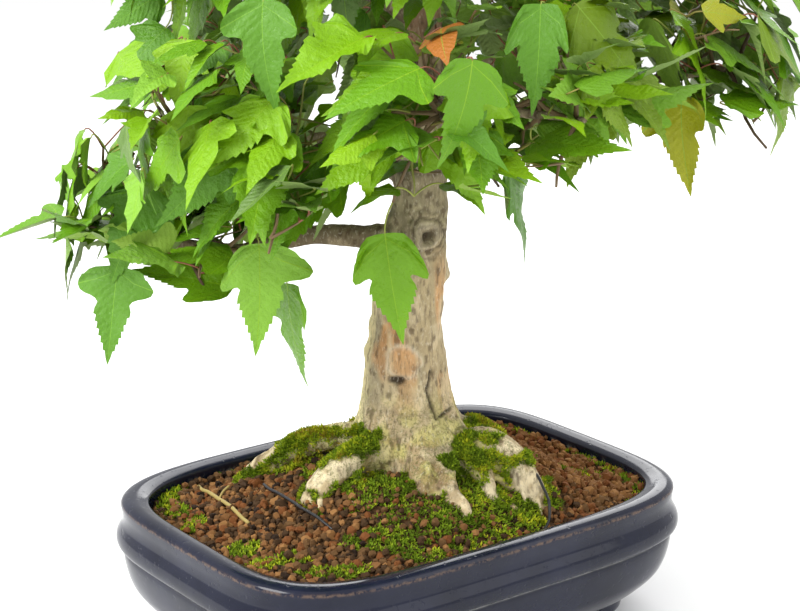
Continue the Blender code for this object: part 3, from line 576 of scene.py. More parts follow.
def foot_surface(sizes, start, end, rows=40, columns=28):
    """Corner foot: a rounded-square section that follows the outline and closes at both ends.

    Along the foot, u runs from one end of its arc to the other, and the section shrinks as the eighth root
    of one less the eighth power of the distance from the middle. Round it, v is the section's polar angle.
    """
    u = np.linspace(-1, 1, rows)
    swell = np.clip(1 - np.abs(u) ** 8, 0, 1) ** 0.25
    arc = (start + end) / 2 + u * (end - start) / 2
    v = TURN * np.arange(columns) / columns
    square = (np.abs(np.cos(v)) ** 5 + np.abs(np.sin(v)) ** 5) ** -0.2
    inset = sizes.foot_inset / MM + 6.5 + swell[1:-1, None] * 6.5 * square * np.cos(v)
    z = 6 * MM + swell[1:-1, None] * 6 * MM * square * np.sin(v)
    points = pot_points(arc[1:-1, None], inset, z, sizes.length, sizes.width)
    ends = pot_points(arc[[0, -1]], sizes.foot_inset / MM + 6.5, 6 * MM, sizes.length, sizes.width)
    last = (rows - 2) * columns
    faces = np.concatenate([grid_faces(rows - 2, columns), fan_faces(last, np.arange(columns), flip=True),
                            fan_faces(last + 1, np.arange(columns) + last - columns)])
    points = np.concatenate([points.reshape(-1, 3), ends])
    return points, outward(points - points.mean(axis=0), faces)


def build_pot(sizes, colours):
    points, faces, masks = pot_surface(sizes, 170, 256)
    mesh = new_mesh("glazed_pot", points + MIDDLE, outward(points, faces), colours=masks)
    glaze = glaze_finish(colours)
    pot = new_piece("glazed_pot", mesh, [glaze], ["pot"])
    for side in (-1, 1):
        bpy.ops.mesh.primitive_cylinder_add(vertices=48, radius=sizes.drain_radius, depth=60 * MM)
        drill = bpy.context.object
        drill.data.transform(Matrix.Translation(Vector(MIDDLE)
                                                + Vector((side * sizes.drain_spacing / 2, 0, 0))))
        cut = pot.modifiers.new("drain", "BOOLEAN")
        cut.operation, cut.solver, cut.object = "DIFFERENCE", "EXACT", drill
        apply_modifiers(pot)
        bpy.data.objects.remove(drill, do_unlink=True)
    corner = math.atan2(sizes.width, sizes.length)
    feet = []
    for middle in (corner, math.pi - corner, math.pi + corner, -corner):
        feet.append(foot_surface(sizes, middle - sizes.foot_sweep, middle + sizes.foot_sweep))
    points, faces = join_parts(feet)
    mesh = new_mesh("corner_feet", points + MIDDLE, faces, colours=np.zeros((len(points), 3)))
    new_piece("corner_feet", mesh, [glaze])


def apply_modifiers(obj):
    """Puts the evaluated mesh in the place of the object's own and drops its modifiers."""
    bpy.context.view_layer.update()
    evaluated = obj.evaluated_get(bpy.context.evaluated_depsgraph_get())
    made = bpy.data.meshes.new_from_object(evaluated)
    obj.modifiers.clear()
    obj.data = made
    return made


# ------------------------------------------------------------------ ground, granules and moss


def heap_height(share):
    """Height of the heap of grit from its flat top, at share 0, to the pot's wall, at share 1."""
    edge = POT_HEIGHT - SOIL_EDGE_DROP * MM
    share = np.clip(share, 0, 1)
    return SOIL_TOP_Z + (edge - SOIL_TOP_Z) * smooth(share * 0.9 + 0.1 * np.sqrt(share))


def heap_share(points):
    """How far points lie on the way from the foot's flat round to the pot's wall."""
    away = points - np.array([*TRUNK_FOOT, 0])
    angle = np.arctan2(away[..., 1], away[..., 0])
    wall = pot_points(angle, WALL_INSET, 0, POT_LENGTH, POT_WIDTH)[..., :2] - np.array(TRUNK_FOOT)
    reach = np.linalg.norm(wall, axis=-1)
    return (np.linalg.norm(away[..., :2], axis=-1) - SOIL_FLAT_RADIUS) / (reach - SOIL_FLAT_RADIUS)


# (right, near, half size to the right, half size nearer, lift, how dense) in mm
CUSHIONS = ((-60, -22, 25, 22, 4.5, 1.0), (-38, -30, 20, 24, 6.0, 1.0), (-31, -4, 17, 12, 5.0, 1.0),
            (-72, -44, 16, 12, 2.5, 0.9), (-50, 8, 12, 8, 2.0, 0.7), (56, -66, 19, 27, 4.0, 0.95),
            (70, -40, 12, 12, 3.0, 0.8), (52, 40, 33, 13, 2.8, 0.8), (28, 58, 13, 12, 2.0, 0.7),
            (84, 15, 11, 12, 2.5, 0.9), (-138, -14, 8, 26, 1.5, 0.9), (-128, 16, 7, 11, 1.5, 0.8),
            (4, 68, 24, 22, 1.0, 0.42), (34, 76, 16, 14, 1.2, 0.5), (10, -86, 34, 16, 4.0, 0.9),
            (-20, -70, 22, 14, 3.5, 0.8), (108, -40, 16, 12, 1.5, 0.5), (-96, -60, 18, 14, 1.5, 0.5),
            (42, 30, 22, 13, 2.2, 0.9), (66, 20, 15, 11, 2.4, 0.9), (-4, 36, 24, 11, 1.6, 0.8),
            (-32, 26, 14, 11, 1.8, 0.85), (-12, 52, 18, 12, 1.0, 0.5), (48, 58, 22, 11, 1.0, 0.6),
            (-118, 34, 8, 12, 1.0, 0.7), (-10, 84, 24, 10, 1.0, 0.7), (18, 92, 26, 8, 1.0, 0.7),
            (-86, 74, 10, 10, 1.0, 0.75), (-66, 93, 16, 8, 1.0, 0.8), (-36, 109, 22, 7, 1.0, 0.75),
            (30, 74, 20, 8, 1.2, 0.6))


BED_DEPTH = 2.6 * MM
WALL_BANK = 5.5 * MM  # how much higher the grit lies against the wall behind the trunk


def moss_cover(points):
    """(share covered, lift in metres) of moss over the ground: ragged rounds about each cushion."""
    right, near = points @ RIGHT / MM, points @ NEAR / MM
    ragged = noise(points, 9 * MM, 5) * 0.3 + noise(points, 3.5 * MM, 6) * 0.15
    cover, lift = np.zeros(points.shape[:-1]), np.zeros(points.shape[:-1])
    for mid_right, mid_near, half_right, half_near, rise, dense in CUSHIONS:
        reach = np.hypot((right - mid_right) / half_right, (near - mid_near) / half_near) + ragged
        cover = np.maximum(cover, dense * smooth((1.08 - reach) / 0.3))
        lift = np.maximum(lift, rise * MM * np.sqrt(np.clip(1 - reach**2, 0, 1)))
    rim = smooth((heap_share(points) - 0.905) / 0.03) * smooth((noise(points, 22 * MM, 9) + 0.25) / 0.3)
    facing = smooth((near + 70) / 60)
    return np.maximum(cover, rim * (0.5 + 0.35 * facing)), lift


def ground_z(points):
    """Height of the bed under points: heap, ripple, lumps, moss and the bank, less the granules' depth."""
    share = heap_share(points)
    flat = points * [1, 1, 0]
    ripple = np.array([value_noise(p) for p in (flat * 28).reshape(-1, 3)]).reshape(share.shape)
    lumps = noise(flat, 13 * MM, 2) * 0.7 * MM + noise(flat, 6 * MM, 4) * 0.4 * MM
    inside = smooth((0.99 - share) / 0.05)
    swell = SOIL_RIPPLE * np.sin(math.pi * np.clip(share, 0, 1)) * ripple
    bank = WALL_BANK * smooth((share - 0.78) / 0.2) * smooth((30 - points @ NEAR / MM) / 50)
    return heap_height(share) - BED_DEPTH + bank + (swell + lumps + moss_cover(points)[1]) * inside


def build_ground(sizes, colours):
    """Bed of grit: rings from a round under the trunk out to the wall, then down the wall to a flat base.

    Share v of the way from the round to the wall, at angle u: the two outlines are blended by v, and the
    height is that of the heap there.
    """
    columns = 220
    angle = TURN * np.arange(columns) / columns
    v = np.linspace(0, 1, 76)[:, None, None]
    inner = np.array([*TRUNK_FOOT, 0]) + 12 * MM * np.stack([np.cos(angle), np.sin(angle), 0 * angle],
                                                            axis=-1)
    wall = pot_points(angle, WALL_INSET + 0.4, 0, sizes.length, sizes.width)
    top = inner + (wall - inner) * v
    top[..., 2] = ground_z(top)
    walls = through(POT_PROFILE, np.linspace(0.12, 0.03, 7))
    low = pot_points(angle[None], walls[:, :1] + 0.5, sizes.height - walls[:, 1:] * MM + 0.4 * MM,
                     sizes.length, sizes.width)
    rings = np.concatenate([top, low])
    centre, base = np.array([*TRUNK_FOOT, SOIL_TOP_Z]), low[-1].mean(axis=0)
    rows = len(rings)
    faces = np.concatenate([grid_faces(rows, columns),
                            fan_faces(rows * columns, np.arange(columns), flip=True),
                            fan_faces(rows * columns + 1, np.arange(columns) + (rows - 1) * columns)])
    points = np.concatenate([rings.reshape(-1, 3), [centre, base]])
    mesh = new_mesh("grit_bed", points + MIDDLE, outward(points, faces))
    return new_piece("grit_bed", mesh, [ground_finish(colours)], ["soil"])


def rounded_block():
    """(points, faces) of a cube cut once along each axis and drawn out to a ball: 26 points, 24 faces."""
    places = [p for p in itertools.product((-1, 0, 1), repeat=3) if any(p)]
    index = {p: i for i, p in enumerate(places)}
    faces = []
    for axis in range(3):
        for side in (-1, 1):
            for a, b in itertools.product((-1, 0), repeat=2):
                ring = [(a, b), (a + 1, b), (a + 1, b + 1), (a, b + 1)]
                corners = [tuple(np.insert(np.array(c), axis, side)) for c in ring]
                # the two other axes run in right-handed order for X and Z, and the other way for Y
                turned = corners if (side > 0) == (axis != 1) else corners[::-1]
                faces.append([index[tuple(int(x) for x in c)] for c in turned])
    points = np.array(places, float)
    return points / np.linalg.norm(points, axis=1, keepdims=True), np.array(faces)


def random_turns(rng, count):
    """Rotation matrices turned every way alike, from random unit quaternions."""
    q = rng.normal(size=(count, 4))
    w, x, y, z = (q / np.linalg.norm(q, axis=1, keepdims=True)).T
    return np.stack([
        np.stack([1 - 2 * (y * y + z * z), 2 * (x * y - z * w), 2 * (x * z + y * w)], axis=-1),
        np.stack([2 * (x * y + z * w), 1 - 2 * (x * x + z * z), 2 * (y * z - x * w)], axis=-1),
        np.stack([2 * (x * z - y * w), 2 * (y * z + x * w), 1 - 2 * (x * x + y * y)], axis=-1)], axis=1)


def scatter(spacing, rng):
    """Plan points a spacing apart in jittered rows over the pot's inside."""
    half_x, half_y = POT_LENGTH / 2, POT_WIDTH / 2
    x, y = np.meshgrid(np.arange(-half_x, half_x, spacing), np.arange(-half_y, half_y, spacing * 0.87))
    x = x + np.where(np.arange(len(x))[:, None] % 2, spacing / 2, 0)
    points = np.stack([x.ravel(), y.ravel(), np.zeros(x.size)], axis=-1)
    points[:, :2] += rng.uniform(-0.38, 0.38, (len(points), 2)) * spacing
    angle = np.arctan2(points[:, 1], points[:, 0])
    edge = outline_radius(angle, half_x - (WALL_INSET + 1.2) * MM, half_y - (WALL_INSET + 1.2) * MM)
    return points[np.hypot(points[:, 0], points[:, 1]) < edge]


def clear_of_wood(points, margin):
    """Which points lie outside the trunk's foot and the surface roots in plan."""
    away = points[:, :2] - np.array(TRUNK_FOOT)
    free = np.hypot(away[:, 0], away[:, 1]) > 31 * MM
    for row in ROOTS:
        path, radii = root_path(row)
        shown = path[:, 2] + radii > ground_z(path) + 0.5 * MM
        gap = np.linalg.norm(points[:, None, :2] - path[None, shown, :2], axis=-1) - radii[shown] * 0.92
        free &= gap.min(axis=1) > margin
    return free


def build_granules(sizes, colours):
    """Fired clay granules: one close layer over the bed and a looser one on it, in plain browns, dealt paler
    at the back right as painted light.
    """
    rng = np.random.default_rng(7)
    block, faces = rounded_block()
    layers = []
    for share, lift in ((1.0, 0.1), (0.5, 1.5)):
        points = scatter(sizes.granule * 2 * 0.86, rng)
        points = points[rng.random(len(points)) < share]
        cover, _ = moss_cover(points)
        points = points[(cover < rng.uniform(0.15, 0.95, len(points))) & clear_of_wood(points, 1.0 * MM)]
        points[:, 2] = ground_z(points) + lift * sizes.granule * 0.62
        layers.append(points)
    places = np.concatenate(layers)
    count = len(places)
    fine = bump(np.hypot(places @ RIGHT / MM - 16, (places @ NEAR / MM - 44) * 1.3), 46)
    size = sizes.granule * rng.uniform(0.6, 1.3, count) * (1 - 0.4 * fine)
    big = rng.random(count) < 0.07
    size[big] *= 1.35
    shape = block[None] * rng.uniform(0.68, 1.12, (count, 1, 3))
    shape = shape * (1 + 0.3 * rng.uniform(-1, 1, (count, len(block), 1)))
    shape = np.einsum("nij,nvj->nvi", random_turns(rng, count), shape) * size[:, None, None]
    points = (shape + places[:, None]).reshape(-1, 3)
    browns = [clay_finish(f"fired_clay_{k + 1}", colour) for k, colour in enumerate(clay_browns(colours))]
    # painted light: the granules at the back right are dealt paler browns, to brighten a place that lies in
    # shade
    painted_light_back_right = 0.6 * smooth((places @ RIGHT / MM - 20) / 50) * smooth((25 - places @ NEAR / MM) / 40)
    shade = np.digitize(rng.random(count) * (1 - painted_light_back_right) + painted_light_back_right, (0.08, 0.32, 0.58, 0.7, 0.9))
    kinds = np.repeat(shade, len(faces))
    faces = repeat_faces(outward(block, faces), count, len(block))
    mesh = new_mesh("grit_granules", points + MIDDLE, faces, kinds=kinds)
    return new_piece("grit_granules", mesh, browns, sharp=34)


def clay_browns(colours):
    """Six browns about the grit's colour, from nearly black over redder to pale."""
    base = np.array(colours.grit)
    return [base * (0.16, 0.16, 0.2), base * (0.42, 0.42, 0.45), base, base * (1.3, 0.9, 0.65),
            base * (1.5, 1.35, 1.2), base * (2.1, 2.0, 1.8)]


def sprig_points(rng, places, normals, length):
    """Moss sprigs: leaflets that lean out round a stem, each a narrow flat kite.

    Leaflet k of a sprig stands at k golden angles round the normal and leans out from it; its four corners
    are the foot, two sides half way up and the tip.
    """
    count, leaflets = len(places), 5
    turn = rng.uniform(0, TURN, (count, 1)) + GOLDEN_ANGLE * np.arange(leaflets)
    lean = rng.uniform(0.25, 1.15, (count, leaflets))
    guide = np.where(np.abs(normals[:, 2:]) > 0.9, [[1.0, 0, 0]], [[0, 0, 1.0]])
    side = np.cross(guide, normals)
    side /= np.linalg.norm(side, axis=1, keepdims=True)
    other = np.cross(normals, side)
    out = side[:, None] * np.cos(turn)[..., None] + other[:, None] * np.sin(turn)[..., None]
    tip = out * np.sin(lean)[..., None] + normals[:, None] * np.cos(lean)[..., None]
    across = np.cross(tip, out + normals[:, None] * 0.01)
    across /= np.linalg.norm(across, axis=-1, keepdims=True) + 1e-9
    size = (length * rng.uniform(0.55, 1.25, (count, leaflets)))[..., None]
    foot = places[:, None] - normals[:, None] * 0.25 * MM
    mid = foot + tip * size * 0.5
    points = np.stack([foot + 0 * tip, mid + across * size * 0.17, foot + tip * size,
                       mid - across * size * 0.17], axis=2)
    return points.reshape(-1, 3), count * leaflets


def build_moss(sizes, colours):
    """Moss: sprigs over the cushions, thin moss along the wall, and some climbing the roots and the flare."""
    rng = np.random.default_rng(19)
    points = scatter(sizes.moss_spacing, rng)
    cover, _ = moss_cover(points)
    keep = (cover > rng.uniform(0.02, 1.0, len(points))) & clear_of_wood(points, -2.5 * MM)
    points = points[keep]
    points[:, 2] = ground_z(points) + 0.5 * MM
    step = 1.0 * MM
    slope = np.stack([(ground_z(points + np.eye(3)[k] * step)
                       - ground_z(points - np.eye(3)[k] * step)) / (2 * step)
                      for k in (0, 1)], axis=-1)
    normals = np.concatenate([-slope * 0.8, np.ones((len(points), 1))], axis=1)
    wood = bpy.data.objects["trunk_and_boughs"].data
    co, no = vertex_vectors(wood, "co") - MIDDLE, vertex_vectors(wood, "normal")
    low = np.flatnonzero(co[:, 2] < 128 * MM)
    climb = wood_moss(co[low], no[low])
    chosen = low[climb > rng.uniform(0.3, 1.0, len(low))]
    places = np.concatenate([points, co[chosen]])
    normals = np.concatenate([normals, no[chosen] * 0.6 + [0, 0, 0.5]])
    normals += rng.normal(size=normals.shape) * 0.22
    normals /= np.linalg.norm(normals, axis=1, keepdims=True)
    shape, count = sprig_points(rng, places, normals, sizes.moss_length)
    greens = [moss_finish(f"moss_{k + 1}", colour) for k, colour in enumerate(moss_greens(colours))]
    old_moss = bump(places @ RIGHT / MM - 2, 34) * bump(places @ NEAR / MM - 66, 34)
    clump = noise(places, 8 * MM, 8) * 0.9 + rng.uniform(-0.7, 0.7, len(places)) - 0.75 * old_moss
    kind = np.digitize(clump, (-0.55, -0.05, 0.4, 0.95))
    mesh = new_mesh("moss_sprigs", shape + MIDDLE, repeat_faces(np.array([[0, 1, 2, 3]]), count, 4),
                    kinds=np.repeat(kind, 5))
    return new_piece("moss_sprigs", mesh, greens)


def moss_greens(colours):
    """Five greens about the moss's colour, from deep to straw."""
    base = np.array(colours.moss)
    return [base * (0.35, 0.42, 0.4), base * (0.65, 0.75, 0.7), base, base * (1.6, 1.3, 1.1),
            base * (1.3, 0.75, 1.8)]


def vertex_vectors(mesh, field):
    values = np.empty(len(mesh.vertices) * 3, np.float32)
    mesh.vertices.foreach_get(field, values)
    return values.reshape(-1, 3).astype(float)


def build_small_things():
    """A black tie wire with its loop behind the right root, and a dry twig, both lying on the grit."""
    wire = [(-79, 10, 4.5), (-74, 22, 5.0), (-64, 37, 5.0), (-55, 50, 5.0), (-45, 64, 4.6), (-34, 76, 0.0)]
    loop = [(74, 12, -2), (76, 16, 9), (80, 24, 14), (84, 36, 14), (84, 46, 9), (80, 52, 4), (76, 56, -1)]
    tie = [lying(rows, 0.85) for rows in (wire, loop)]
    black, tree, shader = finish("tie_wire", (0.012, 0.012, 0.014), 0.45)
    scuffs = object_noise(tree, 500, 3)
    tree.links.new(spread(tree, scuffs, 0.3, 0.7, 0.35, 0.6), shader.inputs["Roughness"])
    relief(tree, shader, scuffs, 0.15 * MM, 0.5)
    points, faces = join_parts(tie)
    new_piece("tie_wire", new_mesh("tie_wire", points + MIDDLE, outward(points, faces)), [black])
    twig = lying([(-120, -20, 3), (-112, -4, 3.6), (-105, 11, 3.4), (-98, 25, 3.6), (-91, 38, 3),
                  (-85, 48, 2.2)], 1.15)
    stub = lying([(-105, 11, 3.4), (-103, 5, 5), (-100, 1, 6)], 0.7)
    points, faces = join_parts([twig, stub])
    dry = twig_finish("dry_twig", (0.38, 0.29, 0.09), 600)
    new_piece("dry_twig", new_mesh("dry_twig", points + MIDDLE, outward(points, faces)), [dry])


def lying(rows, radius):
    """Tube of one radius in mm along rows of (right, near, height over the ground) in mm."""
    rows = np.array(rows, float)
    path = through(rows, np.linspace(0, 1, 30))
    place = path[:, :1] * MM * RIGHT + path[:, 1:2] * MM * NEAR
    place[:, 2] = ground_z(place) + path[:, 2] * MM
    return tubes(place[None], np.full((1, 30), radius * MM), 8)


# ------------------------------------------------------------------ trunk, roots and boughs


def trunk_axis(height):
    """(centre, radius) of the trunk at heights over the soil, in metres: straight lines between stations."""
    stations = np.array(TRUNK_STATIONS, float)
    height = np.asarray(height, float) / MM
    lean, radius = (np.interp(height, stations[:, 0], stations[:, k]) for k in (1, 2))
    centre = (np.array([*TRUNK_FOOT, SOIL_TOP_Z]) + lean[..., None] * RIGHT * MM
              + height[..., None] * [0, 0, MM])
    return centre, radius * MM


def soft_axis(height):
    """The trunk's axis with its corners rounded: the mean of three heights."""
    found = [trunk_axis(height + shift * MM) for shift in (-7, 0, 7)]
    return sum(c for c, _ in found) / 3, sum(r for _, r in found) / 3


def flare(angle, height):
    """How much the trunk swells towards its roots: a hump over each root that dies away up the trunk."""
    fade = smooth(1 - np.maximum(0.0, height) / FLARE_HEIGHT)
    swell = 0.0
    for _, bearing, reach, _, _ in ROOTS:
        away = np.remainder(angle - math.radians(bearing) + math.pi, TURN) - math.pi
        swell = swell + (reach / 80) * np.exp(-((away / 0.22) ** 2))
    return 1 + fade * FLARE_DEPTH * (swell - 0.35)


def trunk_rings(height, angle, grow=0.0, axis=trunk_axis):
    """Rings of the trunk at heights in metres over the soil: radius by height, a slow wave and the flare."""
    centre, radius = axis(height)
    h = height[:, None] / MM
    wave = 1 + 0.035 * np.sin(2 * angle + h / 17) + 0.02 * np.sin(5 * angle - h / 23)
    reach = radius[:, None] * wave * flare(angle, height[:, None]) + grow
    return centre[:, None] + reach[..., None] * np.stack([np.cos(angle), np.sin(angle), 0 * angle], axis=-1)


def root_path(row, steps=5):
    """(points, radii) of a surface root: out of the flare, over a knuckle, then down into the grit."""
    _, bearing, reach, radius, knuckle = row
    out, side, inner = bearing_vector(bearing), bearing_vector(bearing + 90), 18
    t = np.linspace(0, 1, steps + 1)
    sway = np.sin(t * math.pi * 1.6 + bearing) * 4 * t
    along_root = (inner + (reach - inner) * t)[:, None] * out
    p = np.array([*TRUNK_FOOT, 0]) + (along_root + sway[:, None] * side) * MM
    lift = (1 - t) * 12 + np.sin(math.pi * t) * knuckle - smooth((t - 0.7) / 0.3) * ROOT_SINK
    p[:, 2] = heap_height(heap_share(p)) + (lift - radius * 0.55) * MM
    return p, radius * MM * (1.25 - 0.45 * t + 0.18 * np.sin(7 * t + bearing))


def bough_path(row):
    """(points, radii) of a bough from inside the trunk to its tip, with an arch and a slight sway."""
    _, bearing, height, reach, rise, arch, thick, thin = row
    start, _ = trunk_axis(height * MM)
    t = np.linspace(0, 1, BOUGH_STEPS + 1)
    sway = np.sin(t * math.pi * 2 + bearing) * 4 * MM * smooth(t * 1.4)
    up = rise * t + arch * np.sin(math.pi * t)
    points = (start + (reach * t * MM)[:, None] * bearing_vector(bearing)
              + sway[:, None] * bearing_vector(bearing + 90))
    points[:, 2] += up * MM
    return points, (thin + (thick - thin) * (1 - t) ** 1.4 + 2.2 * (1 - t) ** 8) * MM


# (right, near, up, radius) in mm of small knotted roots in front of the flare and by the white root
KNOTTED_ROOTS = (((20, 33, 92, 3.4), (25, 41, 93.4, 4.4), (31, 46, 90.4, 4.2), (36, 53, 85, 3.4),
                  (39, 63, 78.6, 2.4)),
                 ((-34, 30, 88, 1.8), (-30, 38, 89.6, 1.7), (-27, 50, 87.4, 1.5), (-25, 62, 83, 1.4)))


def rootlets():
    """Thin roots that leave the surface roots near their ends: rows of (points, radii) by a seeded rule."""
    rng = np.random.default_rng(31)
    made = []
    for row in ROOTS:
        path, _ = root_path(row, 20)
        for _ in range(3):
            at = rng.integers(7, 17)
            bearing = row[1] + rng.choice([-1, 1]) * rng.uniform(25, 65)
            reach, thick = rng.uniform(16, 34) * MM, rng.uniform(1.3, 2.6) * MM
            t = np.linspace(0, 1, 8)
            bend = bearing_vector(bearing + 90) * rng.uniform(-7, 7) * MM
            p = path[at] * [1, 1, 0] + t[:, None] * reach * bearing_vector(bearing) + (t**2)[:, None] * bend
            high = heap_height(heap_share(p)) + (1.2 - 4.5 * t**2) * MM
            p[:, 2] = np.maximum(high, path[at][2] * (1 - t) + high * t - 6 * MM * t)
            made.append((p, thick * (1.1 - 0.55 * t)))
    for row in KNOTTED_ROOTS:
        rows = through(row, np.linspace(0, 1, 10)) * MM
        p = rows[:, :1] * RIGHT + rows[:, 1:2] * NEAR + rows[:, 2:3] * [0, 0, 1]
        made.append((p, rows[:, 3]))
    return made


def resample(path, values, count):
    """Smooth line through a path and its radii, at an even number of shares."""
    both = through(np.concatenate([path, values[:, None]], axis=1), np.linspace(0, 1, count))
    return both[:, :3], both[:, 3]


def limb_tube(path, radii, count=40, sides=14):
    points, thick = resample(path, radii, count)
    return tubes(points[None], thick[None], sides)


def segment_distance(points, start, end):
    """Distance of points in a plane from a straight stretch between two of its points."""
    run = np.subtract(end, start)
    t = np.clip(((points - start) @ run) / (run @ run), 0, 1)
    return np.linalg.norm(points - start - t[:, None] * run, axis=1)


# (right, height over the ground) in mm of the marks on the front
EYE, DARK_SCAR, PALE_SCAR = (15, 232), (-2, 149), (2, 160)
CRACK = ((18, 154), (15, 142), (21, 126), (30, 129))
SEAM_HEIGHT = 130
# knots on the trunk: (bearing, height over the ground, how far it stands out, width), degrees and mm
KNOTS = ((-37, 205, 4.2, 3.4), (-40, 211, 1.8, 3.5), (-30, 188, 1.8, 4.5), (143, 176, 1.8, 5.0),
         (146, 161, 2.2, 5.0), (60, 190, 3.0, 4.5), (20, 245, 2.5, 4.0), (95, 160, 2.2, 5.5),
         (-100, 292, 2.4, 3.5), (75, 262, 2.2, 4.0), (178, 215, 2.0, 4.5), (10, 150, 2.0, 5.0))


def wood_fields(p):
    """Facts of points of the wood, in mm: height, right, how much it is trunk, how far it faces the front."""
    up = p[:, 2] / MM
    centre, radius = trunk_axis(p[:, 2] - SOIL_TOP_Z)
    away = (p - centre) * [1, 1, 0]
    reach = np.linalg.norm(away, axis=1)
    trunk = smooth((1.6 * radius + 6 * MM * smooth((135 - up) / 30) - reach) / (4 * MM)) * (up > 92)
    return up, p @ RIGHT / MM, trunk, (away / (reach[:, None] + 1e-9)) @ NEAR


def marks(p):
    """Masks of the marks on the trunk's front, from 0 to 1: eye, ring, dark scar, pale scar, crack, seam."""
    up, right, trunk, front = wood_fields(p)
    shown = trunk * (front > 0.05)
    flat = np.stack([right, up], axis=1)
    eye = np.hypot((right - EYE[0]) / 4.2, (up - EYE[1]) / 5.6) + noise(p, 4.5 * MM, 11) * 0.4
    dark = np.hypot((right - DARK_SCAR[0]) / 6.0, (up - DARK_SCAR[1]) / 2.6) + noise(p, 3 * MM, 12) * 0.35
    pale = np.hypot((right - PALE_SCAR[0]) / 9.5, (up - PALE_SCAR[1]) / 8.5) + noise(p, 5 * MM, 13) * 0.15
    wander = noise(p, 4 * MM, 14)
    crack = np.min([segment_distance(flat, a, b) for a, b in zip(CRACK, CRACK[1:])], axis=0) + wander * 0.5
    seam = np.abs(up - SEAM_HEIGHT - wander * 1.2)
    return {
        "hollow": bump(eye, 0.6) * shown, "ring": bump(eye - 1.15, 0.3) * shown,
        "whorl": np.cos(eye * 8.5) * bump(eye - 1.9, 0.8) * shown,
        "dark": smooth((1.2 - dark) / 0.6) * shown, "rim": bump(dark - 1.5, 0.35) * shown,
        "pale": smooth((1.1 - pale) / 0.25) * shown, "pale_rim": bump(pale - 1.0, 0.16) * shown,
        "crack": bump(crack, 0.7) * shown,
        "seam": bump(seam, 0.8) * shown * (right > -12) * (right < 22),
    }


def wood_relief(p, n):
    """How far each point of the wood moves out along its normal, in metres.

    Upright wrinkles are noise on heights squeezed to a quarter, flakes are the upper part of a coarser
    noise, and the rough bark high up adds lumps. The marks and knots are bell curves about their places.
    """
    up, _, trunk, _ = wood_fields(p)
    squeezed = p * [1, 1, 0.28]
    wrinkle = noise(squeezed, 3.2 * MM, 20) * 0.34 + noise(squeezed, 1.7 * MM, 21) * 0.22
    fissure = -0.75 * smooth((noise(squeezed, 2.6 * MM, 22) - 0.45) / 0.25)
    flake = 0.5 * smooth((noise(p * [1, 1, 0.55], 8 * MM, 23) - 0.15) / 0.12)
    swell = noise(p * [1, 1, 0.6], 17 * MM, 24) * 0.9
    rough = smooth((up - 212) / 30) * trunk + (1 - trunk) * smooth((up - 120) / 10) * 1.3
    lumps = rough * (noise(p, 4.2 * MM, 25) * 0.85 + noise(p, 8.5 * MM, 26) * 0.6)
    rings = 0.25 * noise(p * [0.3, 0.3, 1.5], 4 * MM, 27) * smooth((165 - up) / 30)
    moved = wrinkle + fissure + flake + swell + lumps + rings
    m = marks(p)
    moved += (-3.2 * m["hollow"] + 1.3 * m["ring"] + 0.55 * m["whorl"] - 1.8 * m["dark"] + 0.6 * m["rim"]
              + 0.35 * m["pale"]
              + 0.7 * m["pale_rim"] - 1.9 * m["crack"] - 0.9 * m["seam"])
    thin = 0.35 + 0.65 * np.clip(trunk + smooth((110 - up) / 20), 0, 1)
    moved = moved * thin
    for bearing, height, out, width in KNOTS:
        centre, radius = trunk_axis((height - SOIL_TOP_Z / MM) * MM)
        place = centre + bearing_vector(bearing) * radius
        away = np.linalg.norm(p - place, axis=1) / MM
        moved += out * bump(away, width) - 0.45 * out * bump(away, width * 0.35)
    return moved * MM


def srgb(*parts):
    """Linear colour of an sRGB one given from 0 to 255."""
    parts = np.array(parts, float) / 255
    return np.where(parts <= 0.04045, parts / 12.92, ((parts + 0.055) / 1.055) ** 2.4)


def mixed(first, second, share):
    return first + (np.asarray(second) - first) * share[:, None]


# (right, height shown from the front, half sizes) in mm of bare wood, moss and damp earth at the roots
BARE = ((-47, 86, 8, 7), (-36, 91, 10, 6), (-28, 95, 6, 5), (-63, 115, 9, 5), (-80, 104, 7, 10),
        (30, 77, 5, 11), (50, 74, 4, 10), (73, 83, 9, 11), (62, 104, 7, 5), (34, 74, 7, 12))
GROWN = ((-47, 104, 22, 10), (-16, 92, 9, 7), (44, 96, 19, 8), (62, 92, 12, 6), (50, 114, 14, 9),
         (88, 80, 5, 9), (41, 83, 9, 5), (-22, 106, 12, 12), (60, 78, 4, 9), (36, 106, 8, 5), (73, 97, 9, 5),
         (56, 99, 9, 5))
EARTH = ((3, 80, 12, 9), (16, 84, 8, 6))


def rounds(points, table):
    """How much points lie within the rounds of a table, from 0 to 1."""
    right, shown = points @ RIGHT / MM, points[:, 2] / MM - (points @ NEAR / MM) * CAMERA_SLOPE
    ragged = noise(points, 6 * MM, 43) * 0.35
    reach = [np.hypot((right - row[0]) / row[2], (shown - row[1]) / row[3]) for row in table]
    return smooth((1.12 - np.min(reach, axis=0) - ragged) / 0.3)


def wood_moss(p, n):
    """How mossy the wood is: on upward faces close over the ground, and up the left of the flare."""
    over = (p[:, 2] - ground_z(p)) / MM
    left = smooth((-(p @ RIGHT / MM) - 6) / 20)
    cover, _ = moss_cover(p * [1, 1, 0])
    patch = smooth((noise(p, 7 * MM, 41) + 0.1 + 0.3 * left + 0.35 * cover) / 0.35)
    grown, bare = rounds(p, GROWN), rounds(p, BARE)
    reach = 4 + 7 * left + 5 * cover + 24 * grown + 4 * noise(p, 14 * MM, 42)
    upward = 0.35 + 0.65 * smooth((n[:, 2] + 0.2) / 0.6)
    return (smooth((reach - over) / 5) * np.maximum(patch, 0.8 * grown) * (over > -1) * upward
            * (1 - 0.94 * bare))


